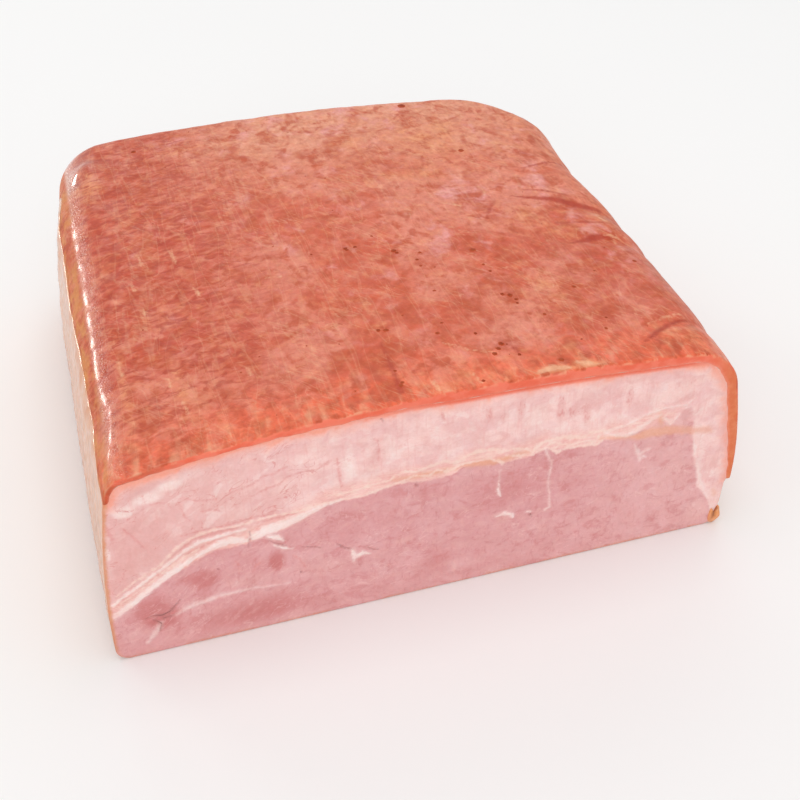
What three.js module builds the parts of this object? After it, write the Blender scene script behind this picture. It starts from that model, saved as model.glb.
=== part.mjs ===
import * as THREE from 'three';

// A pressed slab of smoked bacon with its rind on, cut straight across the front.
// Millimetres, +Z up. X runs along the cut, Y runs back from it. The slab lies on its lean side,
// rind up. The rind wraps over the right shoulder and ends partway down that side.

// ---- Driving dimensions ----
const CUT_LEFT = 85;            // foot of the left side at the cut, left of the middle
const CUT_RIGHT = 84;           // widest place of the right side at the cut
const DEPTH = 170.5;            // from the cut to the back, before the back's own bow

const LEFT_HEIGHT = 59.5;       // top of the left shoulder
const RIGHT_HEIGHT = 62.2;      // top of the right shoulder
const CROWN_FRONT = 5.2;        // how far the middle stands above the shoulders, at the cut
const CROWN_BACK = 3.0;         // and at the back
const CROWN_FROM = -77;         // the crown spans the shoulders' tops
const CROWN_TO = 71;
const BACK_RISE = 1.4;          // the back is a little thicker than the cut end

const SIDE_BOW_LEFT = 2.3;      // both sides bow out halfway back
const SIDE_BOW_RIGHT = 2.8;
const FLARE_LEFT = -1.2;        // change of width from the cut to the back
const FLARE_RIGHT = 2.6;
const LEFT_SWELLS = [{ at: 0.7, out: 1.3, reach: 0.12 }];    // at and reach: shares of the depth
const RIGHT_SWELLS = [
  { at: 0.15, out: 1.2, reach: 0.1 },
  { at: 0.35, out: 0.6, reach: 0.1 },
  { at: 0.64, out: -1.5, reach: 0.11 },
  { at: 0.85, out: 1.5, reach: 0.1 },
];

const LEFT_LEAN = { in: 6.7, height: 60 };    // the left side leans in by this, over this height
const RIGHT_LEAN_CUT = 5.0;     // the same for the right side, at the cut
const RIGHT_LEAN = 6.1;         // and behind it
const RIGHT_LEAN_HEIGHT = 35;
const WIDEST_Z = 20;            // height of the right side's widest place
const TUCK_BELOW = 0.25;        // share of the lean with which it pulls in again below that

const LEFT_SHOULDER_CUT = 3.5;  // corner radii, seen from the front
const LEFT_SHOULDER = 10.8;
const RIGHT_SHOULDER = 10.8;
const SHOULDER_ROOM = 0.45;     // no shoulder takes more than this share of the width
const FOOT_RADIUS = 3.5;
const CUT_BLEND = 33;           // depth over which the cut's section turns into the full one

const BACK_LEFT_CORNER = { radius: 15, power: 2.2 };    // corners seen from above; 2 is round
const BACK_RIGHT_CORNER = { radius: 29.5, power: 1.7 };
const BACK_TOP_EDGE = { radius: 10.6, power: 2 };
const BACK_FOOT_EDGE = { radius: 5, power: 2 };
const BACK_TURN = -6.1;         // the back runs at a slight angle to the cut
const BACK_BOW = { out: 2.8, power: 3 };      // the powers say how early each one sets in
const BACK_LEAN = { in: 5.3, power: 6 };

const RIND_END_Z = 16;          // height of the rind's end on the right side, at the cut
const RIND_END_WAVES = [        // further back it wanders, in a slow wave and a quicker one
  { height: 1.5, length: 118, start: 2.6 },
  { height: 0.6, length: 43, start: 0.9 },
];
const RIND_STEP = 1.5;          // the bare fat below lies this far in
const RIND_EDGE = 1.7;          // height of the rind's rounded end

const CURL = { z: 2.9, half: 2.1, out: 1.9, length: 15 };    // rolled scrap at the cut's right foot

const CREASES = [               // dents in the rind that run in from its right edge
  { from: [80, 73], to: [56, 84], deep: 1.5, half: 3.4 },
  { from: [80, 57], to: [54, 61], deep: 1.7, half: 3.2 },
  { from: [80, 17], to: [56, 12], deep: 1.1, half: 3.2 },
  { from: [84, 112], to: [66, 106], deep: 0.9, half: 3.6 },
];
const CREASE_FADE = 0.7;        // share of its depth that a crease loses towards its inner end
const UNEVEN = { height: 0.35, lengthX: 62, lengthY: 81, start: 1 };    // slow waves of the top

// ---- How finely the surface is divided ----
const FOOT_STEPS = 4;
const SHOULDER_STEPS = 6;
const SIDE_STEPS = 11;
const ABOVE_RIND_END = 5;       // of the right side's steps
const TOP_STEPS = 24;
const TOP_GRADING = 1.25;       // steps get shorter towards the creased right side
const UNDER_STEPS = TOP_STEPS + SHOULDER_STEPS - FOOT_STEPS;
const LENGTH_STEPS = 24;        // sections along the length, up to the back's edge
const BACK_STEPS = 14;          // sections round that edge
const BACK_EDGE_SHARE = 0.8;    // share of the depth at which it starts

const RIND_COLOR = 0xcf7a5e;
const RIND_ROUGHNESS = 0.38;

// ---- Small helpers ----
const clamp = (v, low, high) => Math.min(Math.max(v, low), high);
const mix = (a, b, s) => a + (b - a) * s;
const ease = (s) => { const c = clamp(s, 0, 1); return c * c * (3 - 2 * c); };
const bump = (away, reach) => Math.exp(-((away / reach) ** 2));
const turns = (distance, length) => (2 * Math.PI * distance) / length;
const counted = (count, make) => Array.from({ length: count }, (_, k) => make(k));
const swell = (list, t) => list.reduce((sum, s) => sum + s.out * bump(t - s.at, s.reach), 0);

// How far the back's rounded edge has pulled a surface in at depth y.
function edgeInset({ radius, power }, y) {
  const s = clamp((y - DEPTH + radius) / radius, 0, 1);
  return radius * (1 - (1 - s ** power) ** (1 / power));
}

// A corner from a to b that leaves both its neighbours smoothly. c is where they would meet.
function roundedCorner(a, c, b, steps) {
  const roundness = 0.55;
  const towards = (p) => p.clone().lerp(c, roundness);
  return new THREE.CubicBezierCurve(a, towards(a), towards(b), b).getPoints(steps);
}

// ---- The slab's form ----
// Every t below is a share of the depth: 0 at the cut, 1 at the back.
function sideFeet(t) {
  const bow = Math.sin(Math.PI * t);
  const left = CUT_LEFT + SIDE_BOW_LEFT * bow + FLARE_LEFT * t + swell(LEFT_SWELLS, t);
  const right = CUT_RIGHT + SIDE_BOW_RIGHT * bow + FLARE_RIGHT * t + swell(RIGHT_SWELLS, t);
  return {
    left: edgeInset(BACK_LEFT_CORNER, DEPTH * t) - left,
    right: right - edgeInset(BACK_RIGHT_CORNER, DEPTH * t),
  };
}

function creaseDepth(x, y) {
  let depth = 0;
  for (const { from, to, deep, half } of CREASES) {
    const [dx, dy] = [to[0] - from[0], to[1] - from[1]];
    const s = clamp(((x - from[0]) * dx + (y - from[1]) * dy) / (dx * dx + dy * dy), 0, 1);
    const away = Math.hypot(x - from[0] - s * dx, y - from[1] - s * dy);
    depth += deep * bump(away, half) * (1 - ease(s) * CREASE_FADE);
  }
  return depth;
}

function topHeight(x, t) {
  const y = DEPTH * t;
  const u = (x - CROWN_FROM) / (CROWN_TO - CROWN_FROM);
  const shoulders = mix(LEFT_HEIGHT, RIGHT_HEIGHT, u) + BACK_RISE * t;
  const crown = mix(CROWN_FRONT, CROWN_BACK, t) * 4 * u * (1 - u);
  const wave = UNEVEN.height * Math.sin(turns(x, UNEVEN.lengthX) + UNEVEN.start)
    * Math.sin(turns(y, UNEVEN.lengthY));
  return shoulders + crown + wave - edgeInset(BACK_TOP_EDGE, y) - creaseDepth(x, y);
}

function rindEnd(t) {
  const wave = ({ height, length, start }) =>
    height * (Math.sin(turns(DEPTH * t, length) + start) - Math.sin(start));
  return RIND_END_WAVES.reduce((z, w) => z + wave(w), RIND_END_Z);
}

// The section at t: points from the left foot, up and over the rind, down to the right foot.
// Every section has the same count of points, so neighbours join into a surface.
function section(t) {
  const y = DEPTH * t;
  const feet = sideFeet(t);
  const behind = ease(y / CUT_BLEND);
  const rightLean = mix(RIGHT_LEAN_CUT, RIGHT_LEAN, behind);
  const end = rindEnd(t);
  const [endTop, endFoot] = [end + RIND_EDGE / 2, end - RIND_EDGE / 2];

  const leftSide = (z) => {
    const q = z / LEFT_LEAN.height;
    return feet.left + LEFT_LEAN.in * q * Math.abs(q);
  };
  const rightSide = (z) => {
    const q = clamp((z - WIDEST_Z) / RIGHT_LEAN_HEIGHT, -1, 1.3);
    const lean = rightLean * q * q * (1.6 - 0.6 * q) * (q > 0 ? 1 : TUCK_BELOW);
    const step = RIND_STEP * ease((endTop - z) / RIND_EDGE);
    const curl = CURL.out * bump(z - CURL.z, CURL.half) * (1 - ease(y / CURL.length));
    return feet.right - lean - step + curl;
  };
  const onSide = (side, z) => new THREE.Vector2(side(z), z);
  const onTop = (x) => new THREE.Vector2(x, topHeight(x, t));

  // Where a side, carried on upwards, would meet the top.
  const corner = (side, x) => {
    let z = topHeight(x, t);
    for (let pass = 0; pass < 3; pass += 1) z = topHeight(side(z), t);
    return onSide(side, z);
  };
  const leftCorner = corner(leftSide, feet.left + LEFT_LEAN.in);
  const rightCorner = corner(rightSide, feet.right - rightLean);
  const room = SHOULDER_ROOM * (feet.right - feet.left);
  const leftRadius = Math.min(mix(LEFT_SHOULDER_CUT, LEFT_SHOULDER, behind), room);
  const rightRadius = Math.min(RIGHT_SHOULDER, room);
  const topStart = onTop(leftCorner.x + leftRadius);
  const topEnd = onTop(rightCorner.x - rightRadius);
  const leftWallTop = onSide(leftSide, leftCorner.y - leftRadius);
  const rightWallTop = onSide(rightSide, rightCorner.y - rightRadius);

  const heights = (from, to, steps) => counted(steps, (k) => mix(from, to, (k + 1) / steps));
  const foot = (side, inward) => [
    new THREE.Vector2(side(FOOT_RADIUS) + inward * FOOT_RADIUS, 0),
    new THREE.Vector2(side(FOOT_RADIUS), 0),
    onSide(side, FOOT_RADIUS),
  ];
  const topLine = counted(TOP_STEPS, (k) => {
    const s = 1 - (1 - (k + 1) / TOP_STEPS) ** TOP_GRADING;
    return onTop(mix(topStart.x, topEnd.x, s));
  });
  const leftWall = heights(FOOT_RADIUS, leftWallTop.y, SIDE_STEPS);
  const rightWall = [
    ...heights(rightWallTop.y, endTop, ABOVE_RIND_END),
    endFoot,
    ...heights(endFoot, FOOT_RADIUS, SIDE_STEPS - ABOVE_RIND_END - 1),
  ];

  return [
    ...roundedCorner(...foot(leftSide, 1), FOOT_STEPS),
    ...leftWall.map((z) => onSide(leftSide, z)),
    ...roundedCorner(leftWallTop, leftCorner, topStart, SHOULDER_STEPS).slice(1),
    ...topLine,
    ...roundedCorner(topEnd, rightCorner, rightWallTop, SHOULDER_STEPS).slice(1),
    ...rightWall.map((z) => onSide(rightSide, z)),
    ...roundedCorner(...foot(rightSide, -1).reverse(), FOOT_STEPS).slice(1),
  ];
}

// A closed loop round the slab: the section, and the underside straight back to its start.
function ring(t) {
  const y = DEPTH * t;
  const over = section(t);
  const [start, end] = [over[0], over[over.length - 1]];
  const under = counted(UNDER_STEPS - 1, (k) => end.clone().lerp(start, (k + 1) / UNDER_STEPS));
  const lift = edgeInset(BACK_FOOT_EDGE, y);

  return [...over, ...under].map((p) => {
    const across = p.x / CUT_LEFT;
    const up = p.y / LEFT_HEIGHT;
    const turn = BACK_TURN * t * across;
    const bow = BACK_BOW.out * t ** BACK_BOW.power * (1 - across * across);
    const lean = BACK_LEAN.in * t ** BACK_LEAN.power * up;
    return new THREE.Vector3(p.x, y + turn + bow - lean, p.y + lift * clamp(1 - up, 0, 1));
  });
}

function sectionPlaces() {
  const along = counted(LENGTH_STEPS, (k) => (BACK_EDGE_SHARE * k) / LENGTH_STEPS);
  const round = counted(BACK_STEPS + 1, (k) =>
    mix(BACK_EDGE_SHARE, 1, Math.sin((Math.PI / 2) * (k / BACK_STEPS))));
  return [...along, ...round];
}

// ---- The surface, as faces between numbered vertices ----
const quad = (a, b, c, d) => [a, b, c, a, c, d];

// The skin between neighbouring rings of the same size.
function skinFaces(ringCount, size) {
  const faces = [];
  for (let i = 0; i + 1 < ringCount; i += 1) {
    const [near, far] = [i * size, (i + 1) * size];
    for (let j = 0; j < size; j += 1) {
      const k = (j + 1) % size;
      faces.push(...quad(near + j, near + k, far + k, far + j));
    }
  }
  return faces;
}

// The flat cut, which is the first ring filled in.
function cutFaces(cutRing) {
  const outline = cutRing.map((p) => new THREE.Vector2(p.x, p.z));
  return THREE.ShapeUtils.triangulateShape(outline, []).flatMap(([a, b, c]) => {
    const outward = THREE.ShapeUtils.area([outline[a], outline[b], outline[c]]) > 0;
    return outward ? [a, b, c] : [a, c, b];
  });
}

// The back: a net stretched between the last ring's left side, top, right side and underside.
// It adds its inner vertices to the list that it is given.
function backFaces(vertices, lastRing, size) {
  const tall = FOOT_STEPS / 2 + SIDE_STEPS + SHOULDER_STEPS / 2;
  const wide = SHOULDER_STEPS + TOP_STEPS;
  const footLeft = FOOT_STEPS / 2;
  const left = (v) => lastRing + footLeft + v;
  const top = (u) => left(tall) + u;
  const right = (v) => top(wide) + tall - v;
  const foot = (u) => lastRing + ((footLeft - u + size) % size);
  const between = (a, b, s) => vertices[a].clone().lerp(vertices[b], s);

  const inner = (u, v) => {
    const [across, up] = [u / wide, v / tall];
    const upright = between(foot(u), top(u), up);
    const level = between(left(v), right(v), across);
    const low = between(foot(0), foot(wide), across);
    const high = between(top(0), top(wide), across);
    return vertices.push(upright.add(level).sub(low.lerp(high, up))) - 1;
  };
  const knot = (u, v) => {
    if (v === 0) return foot(u);
    if (v === tall) return top(u);
    if (u === 0) return left(v);
    return u === wide ? right(v) : inner(u, v);
  };

  const net = counted(tall + 1, (v) => counted(wide + 1, (u) => knot(u, v)));
  const faces = [];
  for (let v = 0; v < tall; v += 1) {
    for (let u = 0; u < wide; u += 1) {
      faces.push(...quad(net[v][u], net[v + 1][u], net[v + 1][u + 1], net[v][u + 1]));
    }
  }
  return faces;
}

function slabGeometry() {
  const rings = sectionPlaces().map(ring);
  const size = rings[0].length;
  const vertices = rings.flat();
  const faces = [
    ...skinFaces(rings.length, size),
    ...cutFaces(rings[0]),
    ...backFaces(vertices, (rings.length - 1) * size, size),
  ];
  const geometry = new THREE.BufferGeometry().setFromPoints(vertices);
  geometry.setIndex(faces);

  // The origin lies under the middle of the slab, on the surface that it rests on.
  geometry.computeBoundingBox();
  const { min, max } = geometry.boundingBox;
  geometry.translate(-(min.x + max.x) / 2, -(min.y + max.y) / 2, -min.z);
  geometry.computeVertexNormals();
  return geometry;
}

const rind = new THREE.MeshStandardMaterial({
  color: RIND_COLOR,
  roughness: RIND_ROUGHNESS,
  metalness: 0,
});
const slab = new THREE.Mesh(slabGeometry(), rind);
slab.name = 'bacon_slab';

const bacon = new THREE.Group();
bacon.add(slab);

export default bacon;
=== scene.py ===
"""A pressed slab of smoked bacon, cut straight across: rind, cut face, smoked sides and what lies on them.

Lengths in the form below are millimetres. X runs along the cut, Y runs back from it and Z goes up
through the rind. The meshes are moved so that the origin lies under the middle of the slab.
"""

import math

import bmesh
import bpy
import numpy as np
from mathutils import Matrix, Vector
from mathutils.bvhtree import BVHTree
from mathutils.geometry import delaunay_2d_cdt


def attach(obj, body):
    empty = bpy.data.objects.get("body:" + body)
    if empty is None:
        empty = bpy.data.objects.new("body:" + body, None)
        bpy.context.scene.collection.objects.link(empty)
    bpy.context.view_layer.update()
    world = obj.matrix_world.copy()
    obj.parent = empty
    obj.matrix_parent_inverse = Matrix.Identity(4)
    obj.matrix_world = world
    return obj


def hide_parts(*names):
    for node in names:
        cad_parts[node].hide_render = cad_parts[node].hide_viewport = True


bl_info = {
    "name": "Smoked bacon slab",
    "version": (1, 0, 0),
    "blender": (4, 5, 0),
    "location": "3D View > Sidebar > Bacon",
    "description": "Makes the rind, the cut meat and the stage of a slab of smoked bacon",
    "category": "Add Mesh",
}

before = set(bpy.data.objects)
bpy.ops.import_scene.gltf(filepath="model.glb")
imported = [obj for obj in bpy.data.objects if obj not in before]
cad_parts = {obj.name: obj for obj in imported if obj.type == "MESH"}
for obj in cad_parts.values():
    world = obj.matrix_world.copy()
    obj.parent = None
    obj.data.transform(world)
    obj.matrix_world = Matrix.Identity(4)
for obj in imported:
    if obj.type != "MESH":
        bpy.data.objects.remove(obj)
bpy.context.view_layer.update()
NODE = "bacon_slab"
BODY = "root"
MM = 0.001

# ---- Driving sizes of the form ----
CUT_LEFT, CUT_RIGHT = 85.0, 84.0    # half widths at the cut
DEPTH = 170.5
LEFT_HEIGHT, RIGHT_HEIGHT = 59.5, 62.2
CROWN_FRONT, CROWN_BACK = 5.2, 3.0
CROWN_FROM, CROWN_TO = -77.0, 71.0
BACK_RISE = 1.4
SIDE_BOW_LEFT, SIDE_BOW_RIGHT = 2.3, 2.8
FLARE_LEFT, FLARE_RIGHT = -1.2, 2.6
LEFT_SWELLS = [(0.7, 1.3, 0.12)]    # place, height outwards and reach; place and reach are shares
RIGHT_SWELLS = [(0.15, 1.2, 0.1), (0.35, 0.6, 0.1), (0.64, -1.5, 0.11), (0.85, 1.5, 0.1)]
LEFT_LEAN, LEFT_LEAN_HEIGHT = 6.7, 60.0
RIGHT_LEAN_CUT, RIGHT_LEAN, RIGHT_LEAN_HEIGHT = 5.0, 6.1, 35.0
WIDEST_Z, TUCK_BELOW = 20.0, 0.25
LEFT_SHOULDER_CUT, SHOULDER = 3.5, 10.8
FOOT_RADIUS = 3.5
CUT_BLEND = 33.0
BACK_LEFT_CORNER, BACK_RIGHT_CORNER = (15.0, 2.2), (29.5, 1.7)    # radius and power, 2 is round
BACK_TOP_EDGE, BACK_FOOT_EDGE = (10.6, 2.0), (5.0, 2.0)
BACK_TURN = -6.1
BACK_BOW, BACK_BOW_POWER = 2.8, 3
BACK_LEAN, BACK_LEAN_POWER = 5.3, 6
BACK_EDGE_SHARE = 0.8
CREASES = [    # dents in the rind: outer end, inner end, depth and half width
    ((80, 73), (56, 84), 1.5, 3.4),
    ((80, 57), (54, 61), 1.7, 3.2),
    ((80, 17), (56, 12), 1.1, 3.2),
    ((84, 112), (66, 106), 0.9, 3.6),
]
CREASE_FADE = 0.7
UNEVEN_HEIGHT, UNEVEN_X, UNEVEN_Y, UNEVEN_START = 0.35, 62.0, 81.0, 1.0

# ---- The rind ----
RIND_END_Z, RIND_END_WAVES = 16.0, [(1.5, 118.0, 2.6), (0.6, 43.0, 0.9)]    # right side
RIND_STEP, RIND_EDGE = 1.5, 1.7
LEFT_END_Z, LEFT_END_BACK_Z, LEFT_END_TURN = 53.5, 36.0, 0.82    # left side; turns down near the back
LEFT_END_WAVES = [(0.7, 9), (0.4, 23)]
RIND_THICKNESS = [    # share of the way over the slab from its left end, and thickness
    (0, 1.2), (0.03, 1.9), (0.14, 1.7), (0.22, 1.9), (0.30, 2.5), (0.38, 2.3), (0.44, 3.3),
    (0.68, 3.2), (0.76, 2.7), (0.81, 3.4), (0.91, 3.3), (0.97, 2.2), (1, 1.4),
]
THICKNESS_WAVES = [(0.13, 0.047, 0.5), (0.08, 0.021, 2.0)]    # height, share of the way over, start
BAND_PROUD = 0.5    # the rind's cut edge stands this far in front of where its skin starts
RIM_PROFILE = [     # share of the thickness inwards, and share of the proudness
    (0.03, 0.45), (0.10, 0.80), (0.25, 1.0), (0.50, 0.97), (0.75, 0.92), (0.93, 0.7),
]
SKIN_WIDTH = 250.0    # about the skin's way over the slab
BACK_THICKNESS = 2.4
LEDGE = 0.05    # the meat steps in under the rind's left end within this length
BACK_END_DIP, BACK_END_WAVES = 7.0, [(1.2, 9.0), (0.5, 31.0)]    # the rind's end across the back
MEAT_BEHIND_BAND = 0.16
MEAT_UNDER_BAND = 0.3
CUT_EDGE = [(0.75, 0.0), (0.35, 0.08), (0.12, 0.25), (0.0, 0.55)]    # in from the outline, and behind
CUT_WAVES = [(0.16, 31.0), (0.09, 11.0), (0.05, 4.5)]    # height and length of the cut's unevenness
LINE_HEIGHTS = [    # how far lines stand out of the cut, and how softly
    ("white", 0.17, 0.5), ("cream", 0.07, 0.3), ("crack", -0.3, 0.25), ("vein", -0.04, 0.3),
]
DRIFT_WAVES = [(1.5, 17.0, 0), (0.8, 6.3, 1)]    # how the layers rise and fall along the walls
COVERED_EDGE = 0.06    # share of the cut's rounded edge that is left under the rind
CURL_OUTLINE = [    # the rolled scrap at the cut's right foot, as (x, z)
    (80.2, 0.5), (81.5, 0.25), (82.6, 0.9), (83.1, 2.3), (83.2, 3.8), (82.95, 5.2), (82.4, 6.4),
    (81.85, 6.6), (81.5, 6.0), (81.15, 5.0), (80.9, 4.0), (80.8, 2.9), (80.6, 3.9), (80.7, 5.2),
    (80.3, 5.9), (79.8, 5.3), (79.6, 3.6), (79.7, 1.7),
]
CURL_LOOPS = [    # depth and size of the scrap's loops, from its front to where it leaves the wall
    (-0.35, 0.45), (-0.3, 0.75), (-0.1, 0.93), (0.3, 1.0), (1.2, 1.0), (2.4, 1.03), (3.8, 0.98),
    (5.4, 0.94), (7, 0.86), (9, 0.74), (11, 0.58), (13, 0.4), (14.6, 0.22), (15, 0.12),
]

# ---- How finely the surfaces are divided ----
RIND_ACROSS, RIND_ALONG, RIND_ROUND = 290, 186, 34
RIND_HIDDEN_STEP = 5
MEAT_LEFT, MEAT_COVERED, MEAT_RIGHT, MEAT_UNDER = 70, 96, 22, 60
MEAT_ALONG, MEAT_ROUND = 104, 20
CUT_SPACING, BACK_SPACING, RIND_BACK_SPACING, HIDDEN_SPACING = 0.5, 1.5, 1.3, 6.0
BACK_LINE = 100
ROW_SHARE = 0.87    # rows of staggered points lie this share of their spacing apart

# ---- Places on the bake map, as left, low, right and high ----
SKIN_MAP, SKIN_BACK_MAP = (0.01, 0.30, 0.99, 0.99), (0.01, 0.01, 0.58, 0.19)
RIM_MAPS = [(0.01, 0.235, 0.99, 0.285), (0.01, 0.205, 0.33, 0.225), (0.34, 0.205, 0.66, 0.225),
            (0.67, 0.205, 0.99, 0.225)]
INSIDE_MAP, INSIDE_BACK_MAP = (0.60, 0.01, 0.84, 0.19), (0.86, 0.01, 0.99, 0.19)
CUT_MAP, WALLS_MAP = (0.01, 0.63, 0.99, 0.99), (0.01, 0.17, 0.99, 0.61)
MEAT_BACK_MAP, CURL_MAP = (0.01, 0.01, 0.45, 0.155), (0.02, 0.36, 0.98, 0.98)
CURL_END_MAPS = (0.02, 0.02, 0.48, 0.34), (0.52, 0.02, 0.98, 0.34)


# ---- Small helpers ----
def mix(a, b, share):
    return a + (b - a) * share


def ease(share):
    c = np.clip(share, 0.0, 1.0)
    return c * c * (3 - 2 * c)


def swelling(away, reach):
    return np.exp(-((away / reach) ** 2))


def edge_inset(edge, y):
    """How far the back's rounded edge has pulled a surface in at depth y."""
    radius, power = edge
    s = np.clip((y - DEPTH + radius) / radius, 0, 1)
    return radius * (1 - (1 - s**power) ** (1 / power))


def bezier(a, c, b, count):
    """A corner from a to b that leaves both its neighbours smoothly. c is where they would meet."""
    roundness = 0.55
    a, b, c = (np.asarray(p, float) for p in (a, b, c))
    near_a, near_b = mix(a, c, roundness), mix(b, c, roundness)
    t = np.linspace(0, 1, count + 1)[:, None]
    return (1 - t) ** 3 * a + 3 * t * (1 - t) ** 2 * near_a + 3 * t**2 * (1 - t) * near_b + t**3 * b


# ---- The slab's form. Every t is a share of the depth: 0 at the cut, 1 at the back ----
def side_feet(t):
    bow = math.sin(math.pi * t)
    left = CUT_LEFT + SIDE_BOW_LEFT * bow + FLARE_LEFT * t
    left += sum(out * swelling(t - at, reach) for at, out, reach in LEFT_SWELLS)
    right = CUT_RIGHT + SIDE_BOW_RIGHT * bow + FLARE_RIGHT * t
    right += sum(out * swelling(t - at, reach) for at, out, reach in RIGHT_SWELLS)
    y = DEPTH * t
    return edge_inset(BACK_LEFT_CORNER, y) - left, right - edge_inset(BACK_RIGHT_CORNER, y)


def crease_depth(x, y):
    depth = 0.0
    for start, end, deep, half in CREASES:
        dx, dy = end[0] - start[0], end[1] - start[1]
        s = np.clip(((x - start[0]) * dx + (y - start[1]) * dy) / (dx * dx + dy * dy), 0, 1)
        away = np.hypot(x - start[0] - s * dx, y - start[1] - s * dy)
        depth = depth + deep * swelling(away, half) * (1 - ease(s) * CREASE_FADE)
    return depth


def top_height(x, t):
    y = DEPTH * t
    u = (x - CROWN_FROM) / (CROWN_TO - CROWN_FROM)
    shoulders = mix(LEFT_HEIGHT, RIGHT_HEIGHT, u) + BACK_RISE * t
    crown = mix(CROWN_FRONT, CROWN_BACK, t) * 4 * u * (1 - u)
    wave = UNEVEN_HEIGHT * np.sin(2 * np.pi * x / UNEVEN_X + UNEVEN_START)
    wave = wave * np.sin(2 * np.pi * y / UNEVEN_Y)
    return shoulders + crown + wave - edge_inset(BACK_TOP_EDGE, y) - crease_depth(x, y)


def right_end(t):
    """Height of the rind's end on the right side."""
    waves = (
        height * (math.sin(2 * math.pi * DEPTH * t / length + start) - math.sin(start))
        for height, length, start in RIND_END_WAVES
    )
    return RIND_END_Z + sum(waves)


def left_end(t):
    """Height of the rind's end on the left side. It turns down where the rind wraps the back."""
    wave = sum(height * math.sin(turns * t) for height, turns in LEFT_END_WAVES)
    return mix(LEFT_END_Z + wave, LEFT_END_BACK_Z, float(ease((t - LEFT_END_TURN) / (1 - LEFT_END_TURN))))


def section(t, stepped):
    """The outline at t, from the left foot over the top to the right foot.

    A stepped outline lies in by the rind's step below the rind's end on the right side.
    """
    left_foot, right_foot = side_feet(t)
    behind = float(ease(DEPTH * t / CUT_BLEND))
    lean = mix(RIGHT_LEAN_CUT, RIGHT_LEAN, behind)
    end = right_end(t)

    def left_side(z):
        q = z / LEFT_LEAN_HEIGHT
        return left_foot + LEFT_LEAN * q * abs(q)

    def right_side(z):
        q = np.clip((z - WIDEST_Z) / RIGHT_LEAN_HEIGHT, -1, 1.3)
        inward = lean * q * q * (1.6 - 0.6 * q) * np.where(q > 0, 1, TUCK_BELOW)
        step = RIND_STEP * ease((end + RIND_EDGE / 2 - z) / RIND_EDGE) if stepped else 0.0
        return right_foot - inward - step

    def corner(side, x):
        z = top_height(x, t)
        for _ in range(3):
            z = top_height(side(z), t)
        return np.array([side(z), z])

    left_corner = corner(left_side, left_foot + LEFT_LEAN)
    right_corner = corner(right_side, right_foot - lean)
    room = 0.45 * (right_foot - left_foot)
    left_radius = min(mix(LEFT_SHOULDER_CUT, SHOULDER, behind), room)
    right_radius = min(SHOULDER, room)

    tops = np.linspace(left_corner[0] + left_radius, right_corner[0] - right_radius, 240)
    top = np.column_stack([tops, top_height(tops, t)])
    left_z = np.linspace(FOOT_RADIUS, left_corner[1] - left_radius, 60)
    right_z = np.linspace(right_corner[1] - right_radius, FOOT_RADIUS, 120)
    left_wall = np.column_stack([left_side(left_z), left_z])
    right_wall = np.column_stack([right_side(right_z), right_z])
    left_toe = left_side(FOOT_RADIUS)
    right_toe = float(right_side(np.float64(FOOT_RADIUS)))
    return np.vstack([
        bezier((left_toe + FOOT_RADIUS, 0), (left_toe, 0), left_wall[0], 10)[:-1],
        left_wall[:-1],
        bezier(left_wall[-1], left_corner, top[0], 24)[:-1],
        top[:-1],
        bezier(top[-1], right_corner, right_wall[0], 24)[:-1],
        right_wall[:-1],
        bezier(right_wall[-1], (right_toe, 0), (right_toe - FOOT_RADIUS, 0), 10),
    ])


def placed(flat, t):
    """Section points (x, z) at depth share t, as points in space."""
    x, z = flat[..., 0], flat[..., 1]
    across, up = x / CUT_LEFT, z / LEFT_HEIGHT
    y = DEPTH * t + BACK_TURN * t * across
    y = y + BACK_BOW * t**BACK_BOW_POWER * (1 - across**2) - BACK_LEAN * t**BACK_LEAN_POWER * up
    lift = edge_inset(BACK_FOOT_EDGE, DEPTH * t)
    return np.stack([x, y, z + lift * np.clip(1 - up, 0, 1)], axis=-1)


def way_along(line):
    return np.concatenate([[0.0], np.cumsum(np.linalg.norm(np.diff(line, axis=0), axis=1))])


def spread(line, start, end, count):
    """count + 1 points spread evenly over a line, from one way along it to another."""
    way = way_along(line)
    at = np.linspace(start, end, count + 1)
    return np.column_stack([np.interp(at, way, line[:, k]) for k in range(line.shape[1])])


def rind_ends(line, t):
    """The ways along an outline at which the rind starts and ends."""
    way, peak = way_along(line), int(np.argmax(line[:, 1]))
    start = np.interp(left_end(t), line[:peak, 1], way[:peak])
    falling = line[peak:, 1][::-1]
    end = np.interp(right_end(t) + RIND_EDGE / 2, falling, way[peak:][::-1])
    return start, end


def depth_places(first_y, along, round_count):
    """Shares of the depth: even along the slab, closer together round the back's edge."""
    straight = np.linspace(first_y / DEPTH, BACK_EDGE_SHARE, along, endpoint=False)
    rounded = mix(BACK_EDGE_SHARE, 1, np.sin(np.linspace(0, np.pi / 2, round_count + 1)))
    return np.concatenate([straight, rounded])


def grid_normals(points):
    """Outward normals of a grid of points that runs back in rows and over the slab in columns."""
    back = np.gradient(points, axis=0)
    over = np.gradient(points, axis=1)
    normal = np.cross(over, back)
    return normal / np.maximum(np.linalg.norm(normal, axis=-1, keepdims=True), 1e-9)


def rind_thickness(share):
    places, thickness = zip(*RIND_THICKNESS)
    return np.interp(share, places, thickness)


def slab_middle():
    """The middle of the slab's outline seen from above, which the origin lies under."""
    whole = np.vstack([placed(section(t, stepped=False), t) for t in np.linspace(0, 1, 120)])
    return (whole[:, :2].min(axis=0) + whole[:, :2].max(axis=0)) / 2


SLAB_MIDDLE = slab_middle()


# ---- Collecting a closed surface ----
LINE_FIELDS = ("white", "cream", "tan_line", "crack", "vein", "crease", "lip")    # depths inside lines
AWAY = -9.0    # and what these hold where there is no line


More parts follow.
